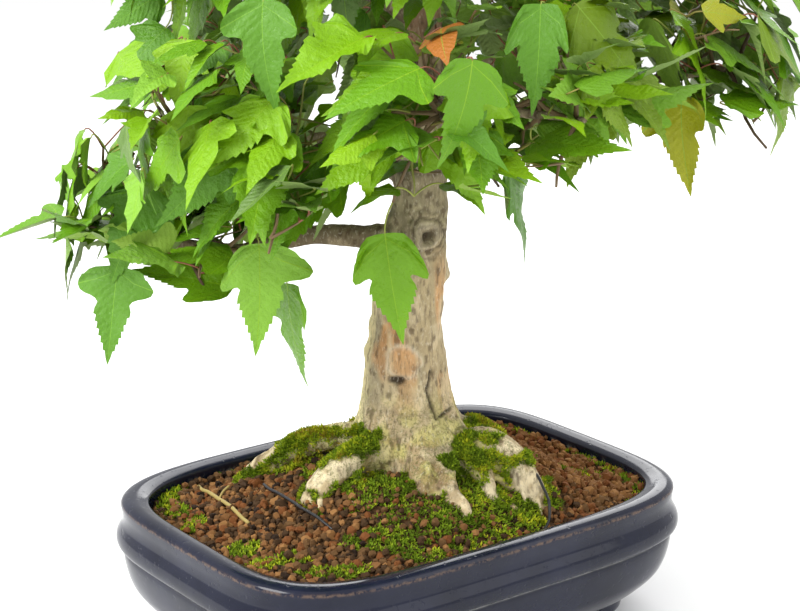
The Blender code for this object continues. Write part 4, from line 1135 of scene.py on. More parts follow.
def wood_colours(p, n, colours):
    """Colour of the wood by place: buff bark with orange and grey patches, dark above, pale roots, marks, and
    painted light: a lit left flank, paler upper faces of the roots, and painted shade in the eye's hollow,
    the crack and the whorl's grooves.
    """
    up, right, trunk, front = wood_fields(p)
    buff, grey = np.array(colours.bark), srgb(158, 146, 118)
    tint = np.repeat(buff[None], len(p), axis=0)
    squeezed = p * [1, 1, 0.4]
    tint = mixed(tint, grey, 0.75 * smooth((noise(squeezed, 12 * MM, 50) + 0.05) / 0.5))
    orange = smooth((noise(p * [1, 1, 0.5], 11 * MM, 51) + 0.05) / 0.35) * bump(up - 178, 38) * trunk
    tint = mixed(tint, srgb(205, 152, 98), 0.85 * orange)
    tint = mixed(tint, srgb(214, 196, 158), 0.6 * smooth((noise(squeezed, 6 * MM, 52) - 0.15) / 0.3))
    lichen = smooth((noise(p, 10 * MM, 53) + 0.15) / 0.4) * smooth((150 - up) / 40) * (up > 88)
    tint = mixed(tint, srgb(204, 198, 110), 0.6 * lichen)
    above = smooth((up - 205) / 35) * trunk
    tint = mixed(tint, srgb(148, 138, 110), 0.75 * above)
    tint = mixed(tint, srgb(176, 164, 128), 0.6 * above * smooth((noise(p, 6 * MM, 54) - 0.1) / 0.25))
    streaks = smooth((noise(p * [1, 1, 0.35], 4 * MM, 61) + 0.1) / 0.4) * smooth((8 - right) / 16)
    tint = mixed(tint, srgb(84, 80, 58), 0.7 * smooth((up - 196) / 30) * trunk * streaks)
    bands = bump(up - 268 - 3 * noise(p, 12 * MM, 62), 5) + bump(up - 300 - 3 * noise(p, 12 * MM, 63), 4)
    tint = mixed(tint, srgb(54, 48, 38), 0.7 * np.clip(bands, 0, 1) * trunk)
    red = smooth((up - 318) / 20) * trunk
    tint = mixed(tint, srgb(150, 96, 66), 0.5 * red)
    bough = (1 - trunk) * smooth((up - 130) / 10)
    tint = mixed(tint, srgb(102, 90, 68), 0.85 * bough)
    tint = mixed(tint, srgb(176, 160, 128), 0.6 * bough * smooth((noise(p, 7 * MM, 55) - 0.1) / 0.3))
    root = (1 - trunk) * smooth((122 - up) / 8)
    tint = mixed(tint, srgb(208, 188, 146), 0.8 * root)
    # painted light: the upper faces of the roots are painted paler, as lit from above
    tint = mixed(tint, srgb(222, 206, 168), 0.6 * root * smooth((n[:, 2] - 0.25) / 0.5))
    low = (up < 122) * smooth((front + 0.3) / 0.4)
    tint = mixed(tint, srgb(238, 222, 186), 0.6 * rounds(p, BARE) * low)
    # painted light: the left flank of the trunk, turned away from the front, is painted near white as if lit
    # from the left
    edge = smooth((0.62 - front) / 0.7) * smooth((-(right - 8)) / 12) * trunk * smooth((225 - up) / 20)
    tint = mixed(tint, srgb(252, 238, 180), 0.88 * edge)
    stain = smooth((noise(p, 5 * MM, 56) - 0.05) / 0.3) * smooth((124 - up) / 14)
    tint = mixed(tint, srgb(140, 108, 62), 0.5 * stain)
    over = (p[:, 2] - ground_z(p)) / MM
    damp = smooth((3.5 - over + 2 * noise(p, 5 * MM, 57)) / 4) * (up < 125) * (1 - 0.6 * rounds(p, BARE))
    tint = mixed(tint, srgb(84, 60, 34), 0.7 * damp)
    tint = mixed(tint, srgb(116, 76, 50), 0.5 * rounds(p, EARTH) * low)
    tint = mixed(tint, srgb(112, 124, 34), 0.75 * wood_moss(p, n))
    pits = (smooth((noise(squeezed, 2.2 * MM, 58) - 0.42) / 0.15)
            + smooth((noise(p, 3 * MM, 59) - 0.45) / 0.2) * above)
    tint = mixed(tint, srgb(70, 52, 34), 0.6 * np.clip(pits, 0, 1))
    m = marks(p)
    tint = mixed(tint, srgb(226, 214, 188), np.clip(0.55 * m["pale_rim"] + 0.3 * m["ring"], 0, 1))
    tint = mixed(tint, srgb(214, 170, 122), 0.35 * m["pale"])
    # painted shade: the whorl's grooves are painted dark
    tint = mixed(tint, srgb(84, 74, 54), 0.75 * np.clip(-m["whorl"] * 1.3, 0, 1))
    tint = mixed(tint, srgb(128, 118, 96), 0.4 * m["seam"])
    # painted shade: the eye's hollow and the crack are painted near black, as shade in their recesses; the
    # dark scar takes the same dark brown
    for name, strength in (("hollow", 0.95), ("dark", 0.92), ("crack", 0.95)):
        tint = mixed(tint, srgb(38, 30, 24), strength * m[name])
    return np.clip(tint * (1 + 0.16 * noise(p, 4 * MM, 60))[:, None], 0, 1)


def stem_radii(space):
    thick = min(STEM_RADIUS, space.tip_radius * 0.85)
    return thick * np.array([1.0, 1.0, 0.98, 0.9, 0.78, 0.6])


def build_wood(sizes, colours):
    """Trunk, surface roots, boughs and the stems of the masses: tubes drawn together by a voxel remesh.

    The remeshed skin is smoothed, then moved along its normals by the bark's relief and coloured by place.
    """
    angle = TURN * np.arange(96) / 96
    height = np.concatenate([[-14], np.arange(-6, 338, 3.0), [338]]) * MM
    rings = trunk_rings(height, angle, axis=soft_axis)
    rows = len(rings)
    body = np.concatenate([rings.reshape(-1, 3), [rings[0].mean(axis=0), rings[-1].mean(axis=0)]])
    faces = np.concatenate([grid_faces(rows, 96), fan_faces(rows * 96, np.arange(96), flip=True),
                            fan_faces(rows * 96 + 1, np.arange(96) + (rows - 1) * 96)])
    parts = [(body, faces)]
    parts += [limb_tube(*root_path(row), sides=18) for row in ROOTS]
    parts += [limb_tube(path, radii, 16, 8) for path, radii in rootlets()]
    parts += [limb_tube(*bough_path(row)) for row in BOUGHS]
    for space in make_spaces():
        stem = np.array([space.entry - space.heading * 7 * MM] + stem_path(space))
        parts.append(limb_tube(stem, stem_radii(space), 30, 12))
    parts = [(points, outward(points, faces)) for points, faces in parts]
    points, faces = join_parts(parts)
    wood = bpy.data.objects.new("trunk_and_boughs", new_mesh("trunk_and_boughs", points, faces))
    bpy.context.scene.collection.objects.link(wood)
    melt = wood.modifiers.new("melt", "REMESH")
    melt.mode, melt.voxel_size, melt.adaptivity = "VOXEL", sizes.wood_voxel, 0.0
    ease = wood.modifiers.new("ease", "SMOOTH")
    ease.factor, ease.iterations = 0.5, 5
    mesh = apply_modifiers(wood)
    bpy.data.objects.remove(wood, do_unlink=True)
    p, n = vertex_vectors(mesh, "co"), vertex_vectors(mesh, "normal")
    tint = wood_colours(p, n, colours)
    moved = p + n * wood_relief(p, n)[:, None]
    mesh.vertices.foreach_set("co", (moved + MIDDLE).astype(np.float32).ravel())
    layer = mesh.color_attributes.new("tint", "FLOAT_COLOR", "POINT")
    specks = smooth((150 - p[:, 2:] / MM) / 30) * smooth((p[:, 2:] / MM - 90) / 10)
    layer.data.foreach_set("color", np.concatenate([tint, specks], axis=1).astype(np.float32).ravel())
    mesh.update()
    mesh.name = "trunk_and_boughs"
    return new_piece("trunk_and_boughs", mesh, [bark_finish()],
                     ["trunk"] + ["bough_" + row[0] for row in BOUGHS])


# ------------------------------------------------------------------ the rule that the masses grow by


def vector(values):
    return Vector(tuple(float(x) for x in values))


def foot_point(height):
    return Vector((*TRUNK_FOOT, height))


def square_to(v, heading):
    """The part of a vector that lies square to a heading, as a unit vector."""
    return (v - heading * v.dot(heading)).normalized()


class Space:
    """The room of one mass: an ellipsoid past its bough's tip, out to where a neighbour's is nearer."""

    def __init__(self, row):
        self.name, past, rise, out_half, side_half, up_half, self.leaves, self.seed = row
        if self.name == "apex":
            centre, radius = trunk_axis(TRUNK_STATIONS[-1][0] * MM)
            tip, self.tip_radius, bearing, self.heading = vector(centre), float(radius), VIEW_BEARING, UP
        else:
            bough = next(r for r in BOUGHS if r[0] == self.name)
            points, radii = bough_path(bough)
            tip, self.tip_radius, bearing = vector(points[-1]), float(radii[-1]), bough[1]
            self.heading = (tip - vector(points[-2])).normalized()
        self.out, self.side = vector(bearing_vector(bearing)), vector(bearing_vector(bearing + 90))
        self.entry = tip + self.heading * GAP
        self.centre = tip + (self.out * past + UP * rise) * MM
        self.half = Vector((out_half, side_half, up_half)) * MM

    def measure(self, p):
        """Distance of a point from the room's centre in shares of its half sizes: 1 on its skin."""
        d = p - self.centre
        shares = (d.dot(self.out) / self.half.x, d.dot(self.side) / self.half.y, d.z / self.half.z)
        return Vector(shares).length

    def place(self, out, side, up):
        return (self.centre + self.out * out * self.half.x + self.side * side * self.half.y
                + UP * up * self.half.z)


def make_spaces():
    return [Space(row) for row in MASSES]


def stem_path(space):
    """Points of a mass's stem from its bough's tip into the room."""
    ahead = space.place(0, 0, 0.5) if space.name == "apex" else space.place(0.4, 0, 0.1)
    start = space.entry + space.heading * 6 * MM
    return [space.entry, start] + [start.lerp(ahead, k / 3) for k in (1, 2, 3)]


def in_room(p, space, spaces, reach=SPACE_REACH):
    here = space.measure(p)
    return here < reach and all(other is space or other.measure(p) > here + SPACE_MARGIN for other in spaces)


def along(path, share):
    span = share * (len(path) - 1)
    i = min(int(span), len(path) - 2)
    return path[i].lerp(path[i + 1], span - i)


def three_sided(path, radii):
    """(points, faces) of a tapering three-sided twig along a path, closed at both ends."""
    points, faces = [], []
    side = UP if abs((path[1] - path[0]).normalized().z) < 0.9 else Vector((1, 0, 0))
    for k, (p, radius) in enumerate(zip(path, radii)):
        run = (path[min(k + 1, len(path) - 1)] - path[max(k - 1, 0)]).normalized()
        side = square_to(side, run)
        across = run.cross(side)
        for corner in range(3):
            turn = TURN * corner / 3
            points.append(p + (side * math.cos(turn) + across * math.sin(turn)) * radius)
        if k:
            low, high = 3 * k - 3, 3 * k
            faces += [(low + c, low + (c + 1) % 3, high + (c + 1) % 3, high + c) for c in range(3)]
    last = len(points) - 3
    return points, faces + [(2, 1, 0), (last, last + 1, last + 2)]


def twig_shape(root, tip):
    end = tip + (tip - root).normalized() * TWIG_OVERRUN
    return three_sided([root, end], [TWIG_RADIUS, TWIG_TIP_RADIUS])


def leaf_shape(node, base, heading, face, length, swell=0.0):
    """(points, faces) of the plain leaf that the rule tests with: a stalk that opens into a blade."""
    across = heading.cross(face)
    run = (base - node).normalized()
    right = square_to(across, run)
    up = right.cross(run)
    corners = [(right * x + up * y) * (STALK_RADIUS + swell)
               for x, y in ((0.87, -0.5), (0, 1), (-0.87, -0.5))]
    outline = [(x, y, sag) for x, y, sag in LEAF_HALF] + [(0, 1, LEAF_TIP_SAG)]
    outline += [(-x, y, sag) for x, y, sag in reversed(LEAF_HALF)]
    middle = base + heading * length * LEAF_MIDDLE
    half = face * (LEAF_THICKNESS / 2 + swell)
    points = [node + corner for corner in corners] + [base + corner for corner in corners]
    points += [base + (across * x + heading * y - face * sag) * length for x, y, sag in outline]
    points += [middle + half, middle - half]
    top, bottom = len(points) - 2, len(points) - 1
    rim = [3] + list(range(6, top)) + [5]
    faces = [(0, 1, 2), (0, 3, 4, 1), (1, 4, 5, 2), (2, 5, 3, 0), (3, 4, top), (4, 5, top), (5, 3, bottom)]
    for i, j in zip(rim, rim[1:]):
        faces += [(j, i, top), (i, j, bottom)]
    return points, faces


class Thicket:
    """What has grown so far, shape by shape, so that nothing new crosses it."""

    def __init__(self):
        self.middles, self.reaches, self.trees = [], [], []
        self.table = None

    def add(self, shape):
        middle = sum(shape[0], Vector()) / len(shape[0])
        self.middles.append(tuple(middle))
        self.reaches.append(max((p - middle).length for p in shape[0]))
        self.trees.append(BVHTree.FromPolygons(*shape))
        self.table = None

    def touches(self, shape, tree):
        if not self.trees:
            return False
        if self.table is None:
            self.table = np.array(self.middles), np.array(self.reaches)
        middle = sum(shape[0], Vector()) / len(shape[0])
        reach = max((p - middle).length for p in shape[0])
        gap = np.linalg.norm(self.table[0] - tuple(middle), axis=1) - self.table[1]
        return any(self.trees[i].overlap(tree) for i in np.flatnonzero(gap < reach + 1e-6))


def skin_of(rings):
    """(points, faces) of the open skin over rings of equally many points."""
    faces = [tuple(int(i) for i in f) for f in grid_faces(*rings.shape[:2])]
    return [vector(p) for p in rings.reshape(-1, 3)], faces


def limb_thicket():
    """The trunk and boughs, swollen by the clearance that leaves and twigs keep from them."""
    limbs = Thicket()
    heights = np.array([row[0] for row in TRUNK_STATIONS]) * MM
    rings = trunk_rings(heights, TURN * np.arange(TRUNK_SIDES) / TRUNK_SIDES, grow=LIMB_CLEARANCE)
    limbs.add(skin_of(np.concatenate([rings, rings[-1:] + [0, 0, LIMB_CLEARANCE]])))
    for row in BOUGHS:
        points, radii = bough_path(row)
        limbs.add(three_sided([vector(p) for p in points],
                              [1.5 * (float(r) + LIMB_CLEARANCE) for r in radii]))
    return limbs


class Leaf:
    """A leaf of the crown: the twig it leaves, how far along, and how its blade lies."""

    def __init__(self, twig, share, node, base, heading, face, length, tint, fine):
        self.twig, self.share, self.node, self.base = twig, share, node, base
        self.heading, self.face, self.length, self.tint, self.fine = heading, face, length, tint, fine
        self.hangs = False


WIDE_REACH = {"left_front": 1.3, "upper_left": 1.3, "back_left": 1.15}  # of the smaller leaves, in half sizes


class Mass:
    """One mass, grown by the source's seeded rule and then filled in with side twigs and smaller leaves."""

    def __init__(self, space, spaces, limbs, blades):
        self.space, self.spaces, self.limbs, self.blades = space, spaces, limbs, blades
        self.wood, self.others = Thicket(), []
        self.rng, self.fine_rng = random.Random(space.seed), random.Random(space.seed + 1000)
        self.twigs, self.leaves, self.middles = [], [], []
        self.stem = stem_path(space)
        self.wood.add(three_sided(self.stem, [STEM_RADIUS] * 5))
        self.spacing, self.reach = LEAF_SPACING, SPACE_REACH

    def clear_of_all(self, shape):
        tree = BVHTree.FromPolygons(*shape)
        return not any(t.touches(shape, tree) for t in [self.limbs, self.blades]
                       + [o.wood for o in self.others])

    def leaf_fits(self, node, base, heading, face, length):
        free = leaf_shape(node.lerp(base, 0.35), base, heading, face, length, swell=LEAF_CLEARANCE)
        return self.clear_of_all(free) and not self.wood.touches(free, BVHTree.FromPolygons(*free))

    def keep_leaf(self, share, node, base, heading, face, length, fine=False):
        self.blades.add(leaf_shape(node, base, heading, face, length))
        self.leaves.append(Leaf(len(self.twigs), share, node, base, heading, face, length, self.tint, fine))
        self.middles.append(base + heading * length * LEAF_MIDDLE)

    def inside(self, points):
        return all(in_room(p, self.space, self.spaces, self.reach) for p in points)

    def crowded(self, middle):
        return any((middle - other).length < self.spacing * LEAF_LENGTH for other in self.middles)

    def leaf_turn(self, base, rng, loose=False):
        """Heading, upper face and length of a leaf at base: outward and drooping, more so low in the room."""
        outward = (base - foot_point(base.z)).normalized()
        height = (base.z - self.space.centre.z) / self.space.half.z
        droop = 0.95 - 0.35 * height + rng.uniform(-0.3, 0.3)
        jitter = Vector((rng.uniform(-1, 1), rng.uniform(-1, 1), rng.uniform(-0.4, 0.4))) * 0.5
        if loose:
            outward = (outward + Vector((rng.uniform(-1, 1), rng.uniform(-1, 1), 0)) * 0.7).normalized()
            droop *= rng.uniform(0.05, 0.95)
        heading = (outward * 0.62 - UP * droop + jitter).normalized()
        face = outward * 0.8 + UP * 0.75 + Vector((rng.uniform(-1, 1), rng.uniform(-1, 1), 0)) * 0.45
        return heading, square_to(face, heading), LEAF_LENGTH * rng.uniform(0.72, 1.1)

    def try_leaf(self, share, node, base, rng, scale=1.0):
        """Grows a leaf from node whose blade starts at base, turned at random, if it fits."""
        heading, face, length = self.leaf_turn(base, rng, loose=scale != 1.0)
        length *= scale
        rim = leaf_shape(node, base, heading, face, length)[0][6:]
        probes = rim + [p.lerp(q, 0.5) for p, q in zip(rim, rim[1:])]
        if self.crowded(base + heading * length * LEAF_MIDDLE) or not self.inside(probes):
            return False
        if not self.leaf_fits(node, base, heading, face, length):
            return False
        self.keep_leaf(share, node, base, heading, face, length, fine=scale != 1.0)
        return True

    def hang(self, base, tip, turn):
        """Grows a leaf of the hem from base to tip, on a twig from the nearest place on the stem."""
        self.tint = 0
        heading = (tip - base).normalized()
        face = square_to(vector(NEAR) * 0.85 + UP * 0.45, heading)
        face.rotate(Quaternion(heading, math.radians(turn)))
        root = min((along(self.stem, k / 12) for k in range(4, 13)), key=lambda p: (p - base).length)
        node = base + ((root - base).normalized() * 0.8 + UP * 0.4).normalized() * STALK_LENGTH * 0.8
        blade = (heading, face, (tip - base).length)
        if not self.clear_of_all(twig_shape(root.lerp(node, 0.3), node)):
            return False
        if not self.leaf_fits(node, base, *blade):
            return False
        self.keep_leaf(1.0, node, base, *blade)
        self.leaves[-1].hangs = True
        self.keep_twig(root, node, 1.0)
        return True

    def keep_twig(self, root, tip, thick):
        self.twigs.append((root, tip, thick))
        self.wood.add(twig_shape(root, tip))

    def grow(self):
        for attempt in range(TWIG_TRIES):
            if len(self.leaves) < self.space.leaves:
                self.grow_twig(attempt)

    def grow_twig(self, attempt):
        rng = self.rng
        root = along(self.stem, 0.3 + 0.7 * ((attempt * 0.382) % 1.0))
        azimuth = attempt * GOLDEN_ANGLE
        reach = rng.uniform(0.4, 0.92)
        goal = self.space.place(math.cos(azimuth) * reach, math.sin(azimuth) * reach, rng.uniform(-0.5, 0.8))
        free = [root.lerp(goal, share) for share in (0.2, 0.6, 1)]
        if not self.inside(free) or not self.clear_of_all(twig_shape(free[0], goal)):
            return
        before = len(self.leaves)
        run = (goal - root).normalized()
        across = run.cross(UP).normalized()
        self.wood.add(twig_shape(root, goal))
        self.tint = self.fine_rng.random()
        for place, side in ((1.0, -1), (1.0, 1), (0.78, -1), (0.78, 1), (0.56, -1), (0.56, 1), (0.34, -1),
                            (0.34, 1)):
            node = root.lerp(goal, place)
            for _ in range(LEAF_TRIES):
                stalk = run * rng.uniform(0.2, 0.9) + across * side + UP * rng.uniform(-0.1, 0.8)
                base = node + stalk.normalized() * STALK_LENGTH * rng.uniform(0.6, 1.2)
                if len(self.leaves) >= self.space.leaves or self.try_leaf(place, node, base, rng):
                    break
        if len(self.leaves) > before:
            self.twigs.append((root, goal, 1.0))

    def fill(self, wanted, smallest, largest):
        """Side twigs from grown twigs, with pairs of smaller leaves, until so many more have found room."""
        rng, target = self.fine_rng, len(self.leaves) + wanted
        self.spacing, self.reach = 0.15, WIDE_REACH.get(self.space.name, SPACE_REACH)
        for _ in range(wanted * 9):
            if len(self.leaves) >= target:
                return
            parent = rng.choice(self.twigs)
            root = parent[0].lerp(parent[1], rng.uniform(0.3, 1.0))
            run = (parent[1] - parent[0]).normalized()
            swing = Vector((rng.gauss(0, 1), rng.gauss(0, 1), rng.gauss(0.25, 0.8)))
            goal = root + (run * 0.5 + swing.normalized()).normalized() * rng.uniform(14, 42) * MM
            if not self.inside([goal]) or under_hem(np.array(tuple(goal)), margin=4) > 0:
                continue
            if not self.clear_of_all(twig_shape(root.lerp(goal, 0.25), goal)):
                continue
            before, self.tint = len(self.leaves), rng.random()
            across = (goal - root).normalized().cross(UP + swing * 0.2).normalized()
            for place, side in ((1.0, -1), (1.0, 1), (0.55, -1), (0.55, 1)):
                node = root.lerp(goal, place)
                for _ in range(3):
                    stalk = (goal - root).normalized() * rng.uniform(0.2, 0.9)
                    stalk = stalk + across * side + UP * rng.uniform(0, 0.8)
                    base = node + stalk.normalized() * STALK_LENGTH * rng.uniform(0.45, 1.0)
                    if self.try_leaf(place, node, base, rng, scale=rng.uniform(smallest, largest)):
                        break
            if len(self.leaves) > before:
                self.wood.add(twig_shape(root, goal))
                self.twigs.append((root, goal, 0.6))


def grow_masses(sizes):
    """All the masses: their hanging leaves, then the source's leaves, then the fill."""
    spaces = make_spaces()
    limbs, blades = limb_thicket(), Thicket()
    masses = [Mass(space, spaces, limbs, blades) for space in spaces]
    for mass in masses:
        mass.others = [other for other in masses if other is not mass]
    named = {mass.space.name: mass for mass in masses}
    for name, base, tip, turn in HANGING:
        named[name].hang(vector(spot(*base)), vector(spot(*tip)), turn)
    for mass in masses:
        mass.grow()
    for mass in masses:
        mass.fill(sizes.fill_leaves, 0.5, 0.95)
    return masses


# ------------------------------------------------------------------ leaves, stalks and twigs

# right half of a blade's outline, stalk to tip: (across, along, where its row leaves the rib) in leaf lengths
BLADE_ROWS = ((0.012, -0.004, 0.0), (0.085, 0.000, 0.005), (0.170, 0.016, 0.010), (0.240, 0.046, 0.016),
              (0.296, 0.092, 0.022), (0.336, 0.160, 0.028), (0.350, 0.162, 0.031), (0.392, 0.236, 0.038),
              (0.404, 0.272, 0.044), (0.407, 0.284, 0.049), (0.384, 0.330, 0.085), (0.334, 0.346, 0.120),
              (0.276, 0.346, 0.165), (0.226, 0.356, 0.215), (0.200, 0.386, 0.275), (0.212, 0.450, 0.340),
              (0.212, 0.506, 0.395), (0.184, 0.510, 0.420), (0.187, 0.572, 0.482), (0.158, 0.577, 0.507),
              (0.160, 0.640, 0.567), (0.130, 0.645, 0.592), (0.129, 0.708, 0.657), (0.101, 0.713, 0.682),
              (0.097, 0.778, 0.747), (0.072, 0.782, 0.767), (0.064, 0.850, 0.836), (0.042, 0.855, 0.851),
              (0.027, 0.925, 0.920), (0.0, 1.0, 1.0))
VEIN_ROW = 8  # the vein of a side lobe lies between this row and the next
PLAIN_ROWS = (0, 2, 4, 7, 8, 9, 11, 13, 15, 17, 19, 22, 25, 29)
TOP, VEIN, UNDER = 0, 1, 2


def leaf_template(rows, shares, vein_row):
    """(plan, depth, faces, kinds) of a blade as a grid: v along the rib, u across it from -1 to 1.

    Row v leaves the rib at its own height and runs straight to its point of the outline. A second sheet a
    leaf's thickness below shares the rim, so that the blade is closed.
    """
    rows = np.array(rows, float)
    rib_half = 0.0058 * (1 - 0.8 * rows[:, 2])
    rib = np.stack([rib_half, rows[:, 2]], axis=-1)
    rib[-1, 0] = 0
    half = [rib] + [rib + (rows[:, :2] - rib) * share for share in shares] + [rows[:, :2]]
    plan = np.stack([column * [-1, 1] for column in half[::-1]] + half, axis=1)
    count, width = plan.shape[:2]
    below = np.arange(1, width - 1)
    top = plan.reshape(-1, 2)
    under = plan[:, below].reshape(-1, 2)
    index = np.arange(count * width).reshape(count, width)
    under_index = index.copy()
    under_index[:, below] = len(top) + np.arange(len(under)).reshape(count, -1)
    index[-1, 1:], under_index[-1] = index[-1, 0], index[-1, 0]
    centre = width // 2 - 1
    faces, kinds = [], []
    for grid, flip in ((index, False), (under_index, True)):
        a, b, c, d = grid[:-1, :-1], grid[:-1, 1:], grid[1:, 1:], grid[1:, :-1]
        kind = np.full(a.shape, UNDER if flip else TOP)
        if not flip:
            kind[:, centre] = VEIN
            kind[vein_row] = VEIN
        for triangle in ((a, b, c), (a, c, d)):
            rows_of_three = np.stack(triangle, axis=-1).reshape(-1, 3)
            faces.append(rows_of_three[:, ::-1] if flip else rows_of_three)
            kinds.append(kind.ravel())
    faces, kinds = np.concatenate(faces), np.concatenate(kinds)
    whole = (faces[:, 0] != faces[:, 1]) & (faces[:, 1] != faces[:, 2]) & (faces[:, 2] != faces[:, 0])
    faces = np.concatenate([faces[whole], np.full((whole.sum(), 1), -1)], axis=1)
    depth = np.concatenate([np.zeros(len(top)), np.ones(len(under))])
    return np.concatenate([top, under]), depth, faces, kinds[whole]


def shaped(plan, count, rng):
    """The plan's (x, y) for each of count leaves, no two alike.

    Each side lobe is longer or shorter and reaches further forwards or back by its own amount; the middle
    lobe narrows between the side lobes and swells half way along.
    """
    x, y = plan[:, 0], plan[:, 1]
    lobe = np.clip((np.abs(x) - 0.17) / 0.23, 0, 1)
    middle = 1 - lobe
    grow, ahead = (np.where(x < 0, rng.normal(mean, wide, (count, 1)), rng.normal(mean, wide, (count, 1)))
                   for mean, wide in ((-0.04, 0.13), (0.045, 0.06)))
    waist, belly = rng.uniform(0, 0.22, (count, 1)), rng.uniform(-0.12, 0.14, (count, 1))
    width = 1 + grow * lobe + middle * (belly * bump(y - 0.56, 0.17) - waist * bump(y - 0.37, 0.07))
    return x * width, y + ahead * lobe


def blades(leaves, template, rng):
    """Points of leaves, as an array of leaves by points.

    From the blade's plan, the height over its plane is a fold (a share of the distance from the rib), less
    a sag that grows with the square of the distance along it and of the side lobes' reach, plus a wave along
    the rim. The tip also swings sideways with the square of the distance along.
    """
    plan, depth = template[:2]
    count = len(leaves)
    x, y = shaped(plan, count, rng)
    fold, sag, lobe, wave, swing, phase, twist = (
        rng.normal(mean, spread_, (count, 1)) for mean, spread_ in
        ((0.12, 0.17), (0.2, 0.12), (0.35, 0.35), (0.02, 0.012), (0.0, 0.09), (0.0, 3.0), (0.0, 0.3)))
    z = (fold * np.abs(x) - sag * y**2 - lobe * x**2
         + wave * np.sin(17 * y + 9 * np.abs(x) + phase) * (np.abs(x) * 5))
    z = z - depth * LEAF_SHEET * 0.5 / LEAF_LENGTH + (1 - depth) * LEAF_SHEET * 0.5 / LEAF_LENGTH
    stretch = rng.uniform(0.9, 1.08, (count, 1))
    across = x * stretch + swing * y**2
    turn = twist * y
    across, z = across * np.cos(turn) - z * np.sin(turn), across * np.sin(turn) + z * np.cos(turn)
    base, heading, face = (np.array([tuple(getattr(leaf, f)) for leaf in leaves])
                           for f in ("base", "heading", "face"))
    right = np.cross(heading, face)
    length = np.array([leaf.length for leaf in leaves])[:, None, None]
    local = (across[..., None] * right[:, None] + y[..., None] * heading[:, None]
             + z[..., None] * face[:, None])
    return base[:, None] + local * length


LEAF_SHEET = 0.35 * MM


def leaf_colours(colours):
    """Plain colours of the blades: eleven tops, one of them with a painted sheen, two of ribs and two of
    undersides, as (name, colour).
    """
    deep, mid, lime = (np.array(c) for c in (colours.leaf_deep, colours.leaf, colours.leaf_lime))
    return [
        ("leaf_deep", deep), ("leaf_deep_2", deep * (1.35, 1.15, 1.2)), ("leaf_mid", mid),
        # the fifth top is the usual green paled and blued: a painted sheen, as on leaves that face the light
        ("leaf_mid_2", mid * (0.8, 0.88, 0.9)), ("leaf_painted_sheen", mid * (1.3, 1.2, 5.0)),
        ("leaf_fresh", (mid + lime) / 2), ("leaf_lime", lime),
        ("leaf_olive", srgb(112, 142, 16)), ("leaf_fading", srgb(152, 156, 22)),
        ("leaf_young_red", srgb(168, 104, 44)),
        ("leaf_dull", srgb(98, 128, 62)),
        ("rib_green", mid * (1.5, 1.22, 2.0)), ("rib_deep", deep * (1.7, 1.4, 2.0)),
        ("underside", srgb(122, 146, 78)), ("underside_fresh", srgb(134, 170, 58)),
    ]


# (right, near, height over the ground) in mm of leaves that have turned, and which colour they have; colour 4
# is the top with the painted sheen
TURNED = (((32, 80, 330), 8), ((20, 76, 342), 8), ((-150, 40, 300), 9), ((-140, 50, 312), 9),
          ((-128, 46, 305), 9), ((64, 90, 380), 9), ((118, 30, 318), 7), ((108, 40, 330), 7),
          ((160, 20, 330), 7), ((168, 36, 352), 8), ((-98, 46, 240), 3), ((78, 20, 240), 0),
          ((-74, 74, 215), 4), ((-4, 80, 220), 2), ((-58, 58, 190), 3), ((40, 62, 290), 5))


def tint_kinds(leaves):
    """Which of the tops each leaf has: by its spray, with more lime high up and more olive on the right."""
    spray = np.array([leaf.tint for leaf in leaves])
    middles = np.array([tuple(leaf.base + leaf.heading * leaf.length * 0.4) for leaf in leaves])
    right, up = middles @ RIGHT / MM, middles[:, 2] / MM
    jitter = np.random.default_rng(len(leaves)).uniform(-0.06, 0.06, len(leaves))
    value = np.clip(spray + jitter + 0.12 * smooth((up - 250) / 200) - 0.03, 0, 0.999)
    # colour 4 in the table is the top with the painted sheen
    table = np.array([0, 1, 3, 3, 3, 2, 2, 4, 2, 5, 3, 4, 5, 5, 10, 5, 6, 4, 6, 6])
    kinds = table[(value * len(table)).astype(int)]
    olive = (right > 95) & (np.modf(spray * 13)[0] < 0.3)
    kinds[olive] = 7
    kinds[(right > 120) & (np.modf(spray * 29)[0] < 0.1)] = 8
    small = np.array([leaf.fine and leaf.length < 0.62 * LEAF_LENGTH for leaf in leaves])
    kinds[small & (np.modf(spray * 41)[0] < 0.015)] = 9
    return kinds, middles


def turn_leaves(middles, kinds):
    """The named leaves that have turned take their colours: the leaf nearest to each place."""
    for (right, near, up), colour in TURNED:
        kinds[np.argmin(np.linalg.norm(middles - spot(right, near, up), axis=1))] = colour


# (right, lowest height of the leaves as it shows from the front) in mm
HEM = ((-165, 226), (-60, 232), (-20, 238), (25, 246), (60, 258), (84, 290), (180, 304))


def shown_height(p):
    """Height in mm at which a point shows from the front, seen from as far above as the camera is."""
    return p[2] / MM - (p @ NEAR / MM) * CAMERA_SLOPE


def under_hem(p, margin=0):
    """How far in mm a point shows under the hem, the heights that leaves hang down to as seen in front."""
    return np.interp(p @ RIGHT / MM, *np.transpose(HEM)) - margin - shown_height(p)


def level_hem(leaves):
    """Leaves that hang below the hem, other than its own large ones, lift their tips to it or lie level."""
    for leaf in leaves:
        lack = under_hem(np.array(tuple(leaf.base + leaf.heading * leaf.length)))
        if lack > 0 and not leaf.hangs:
            heading = leaf.heading.copy()
            heading.z = min(0.12, heading.z + lack * MM / leaf.length * 1.15)
            leaf.heading = heading.normalized()
            leaf.face = square_to(leaf.face + UP * 0.5, leaf.heading)


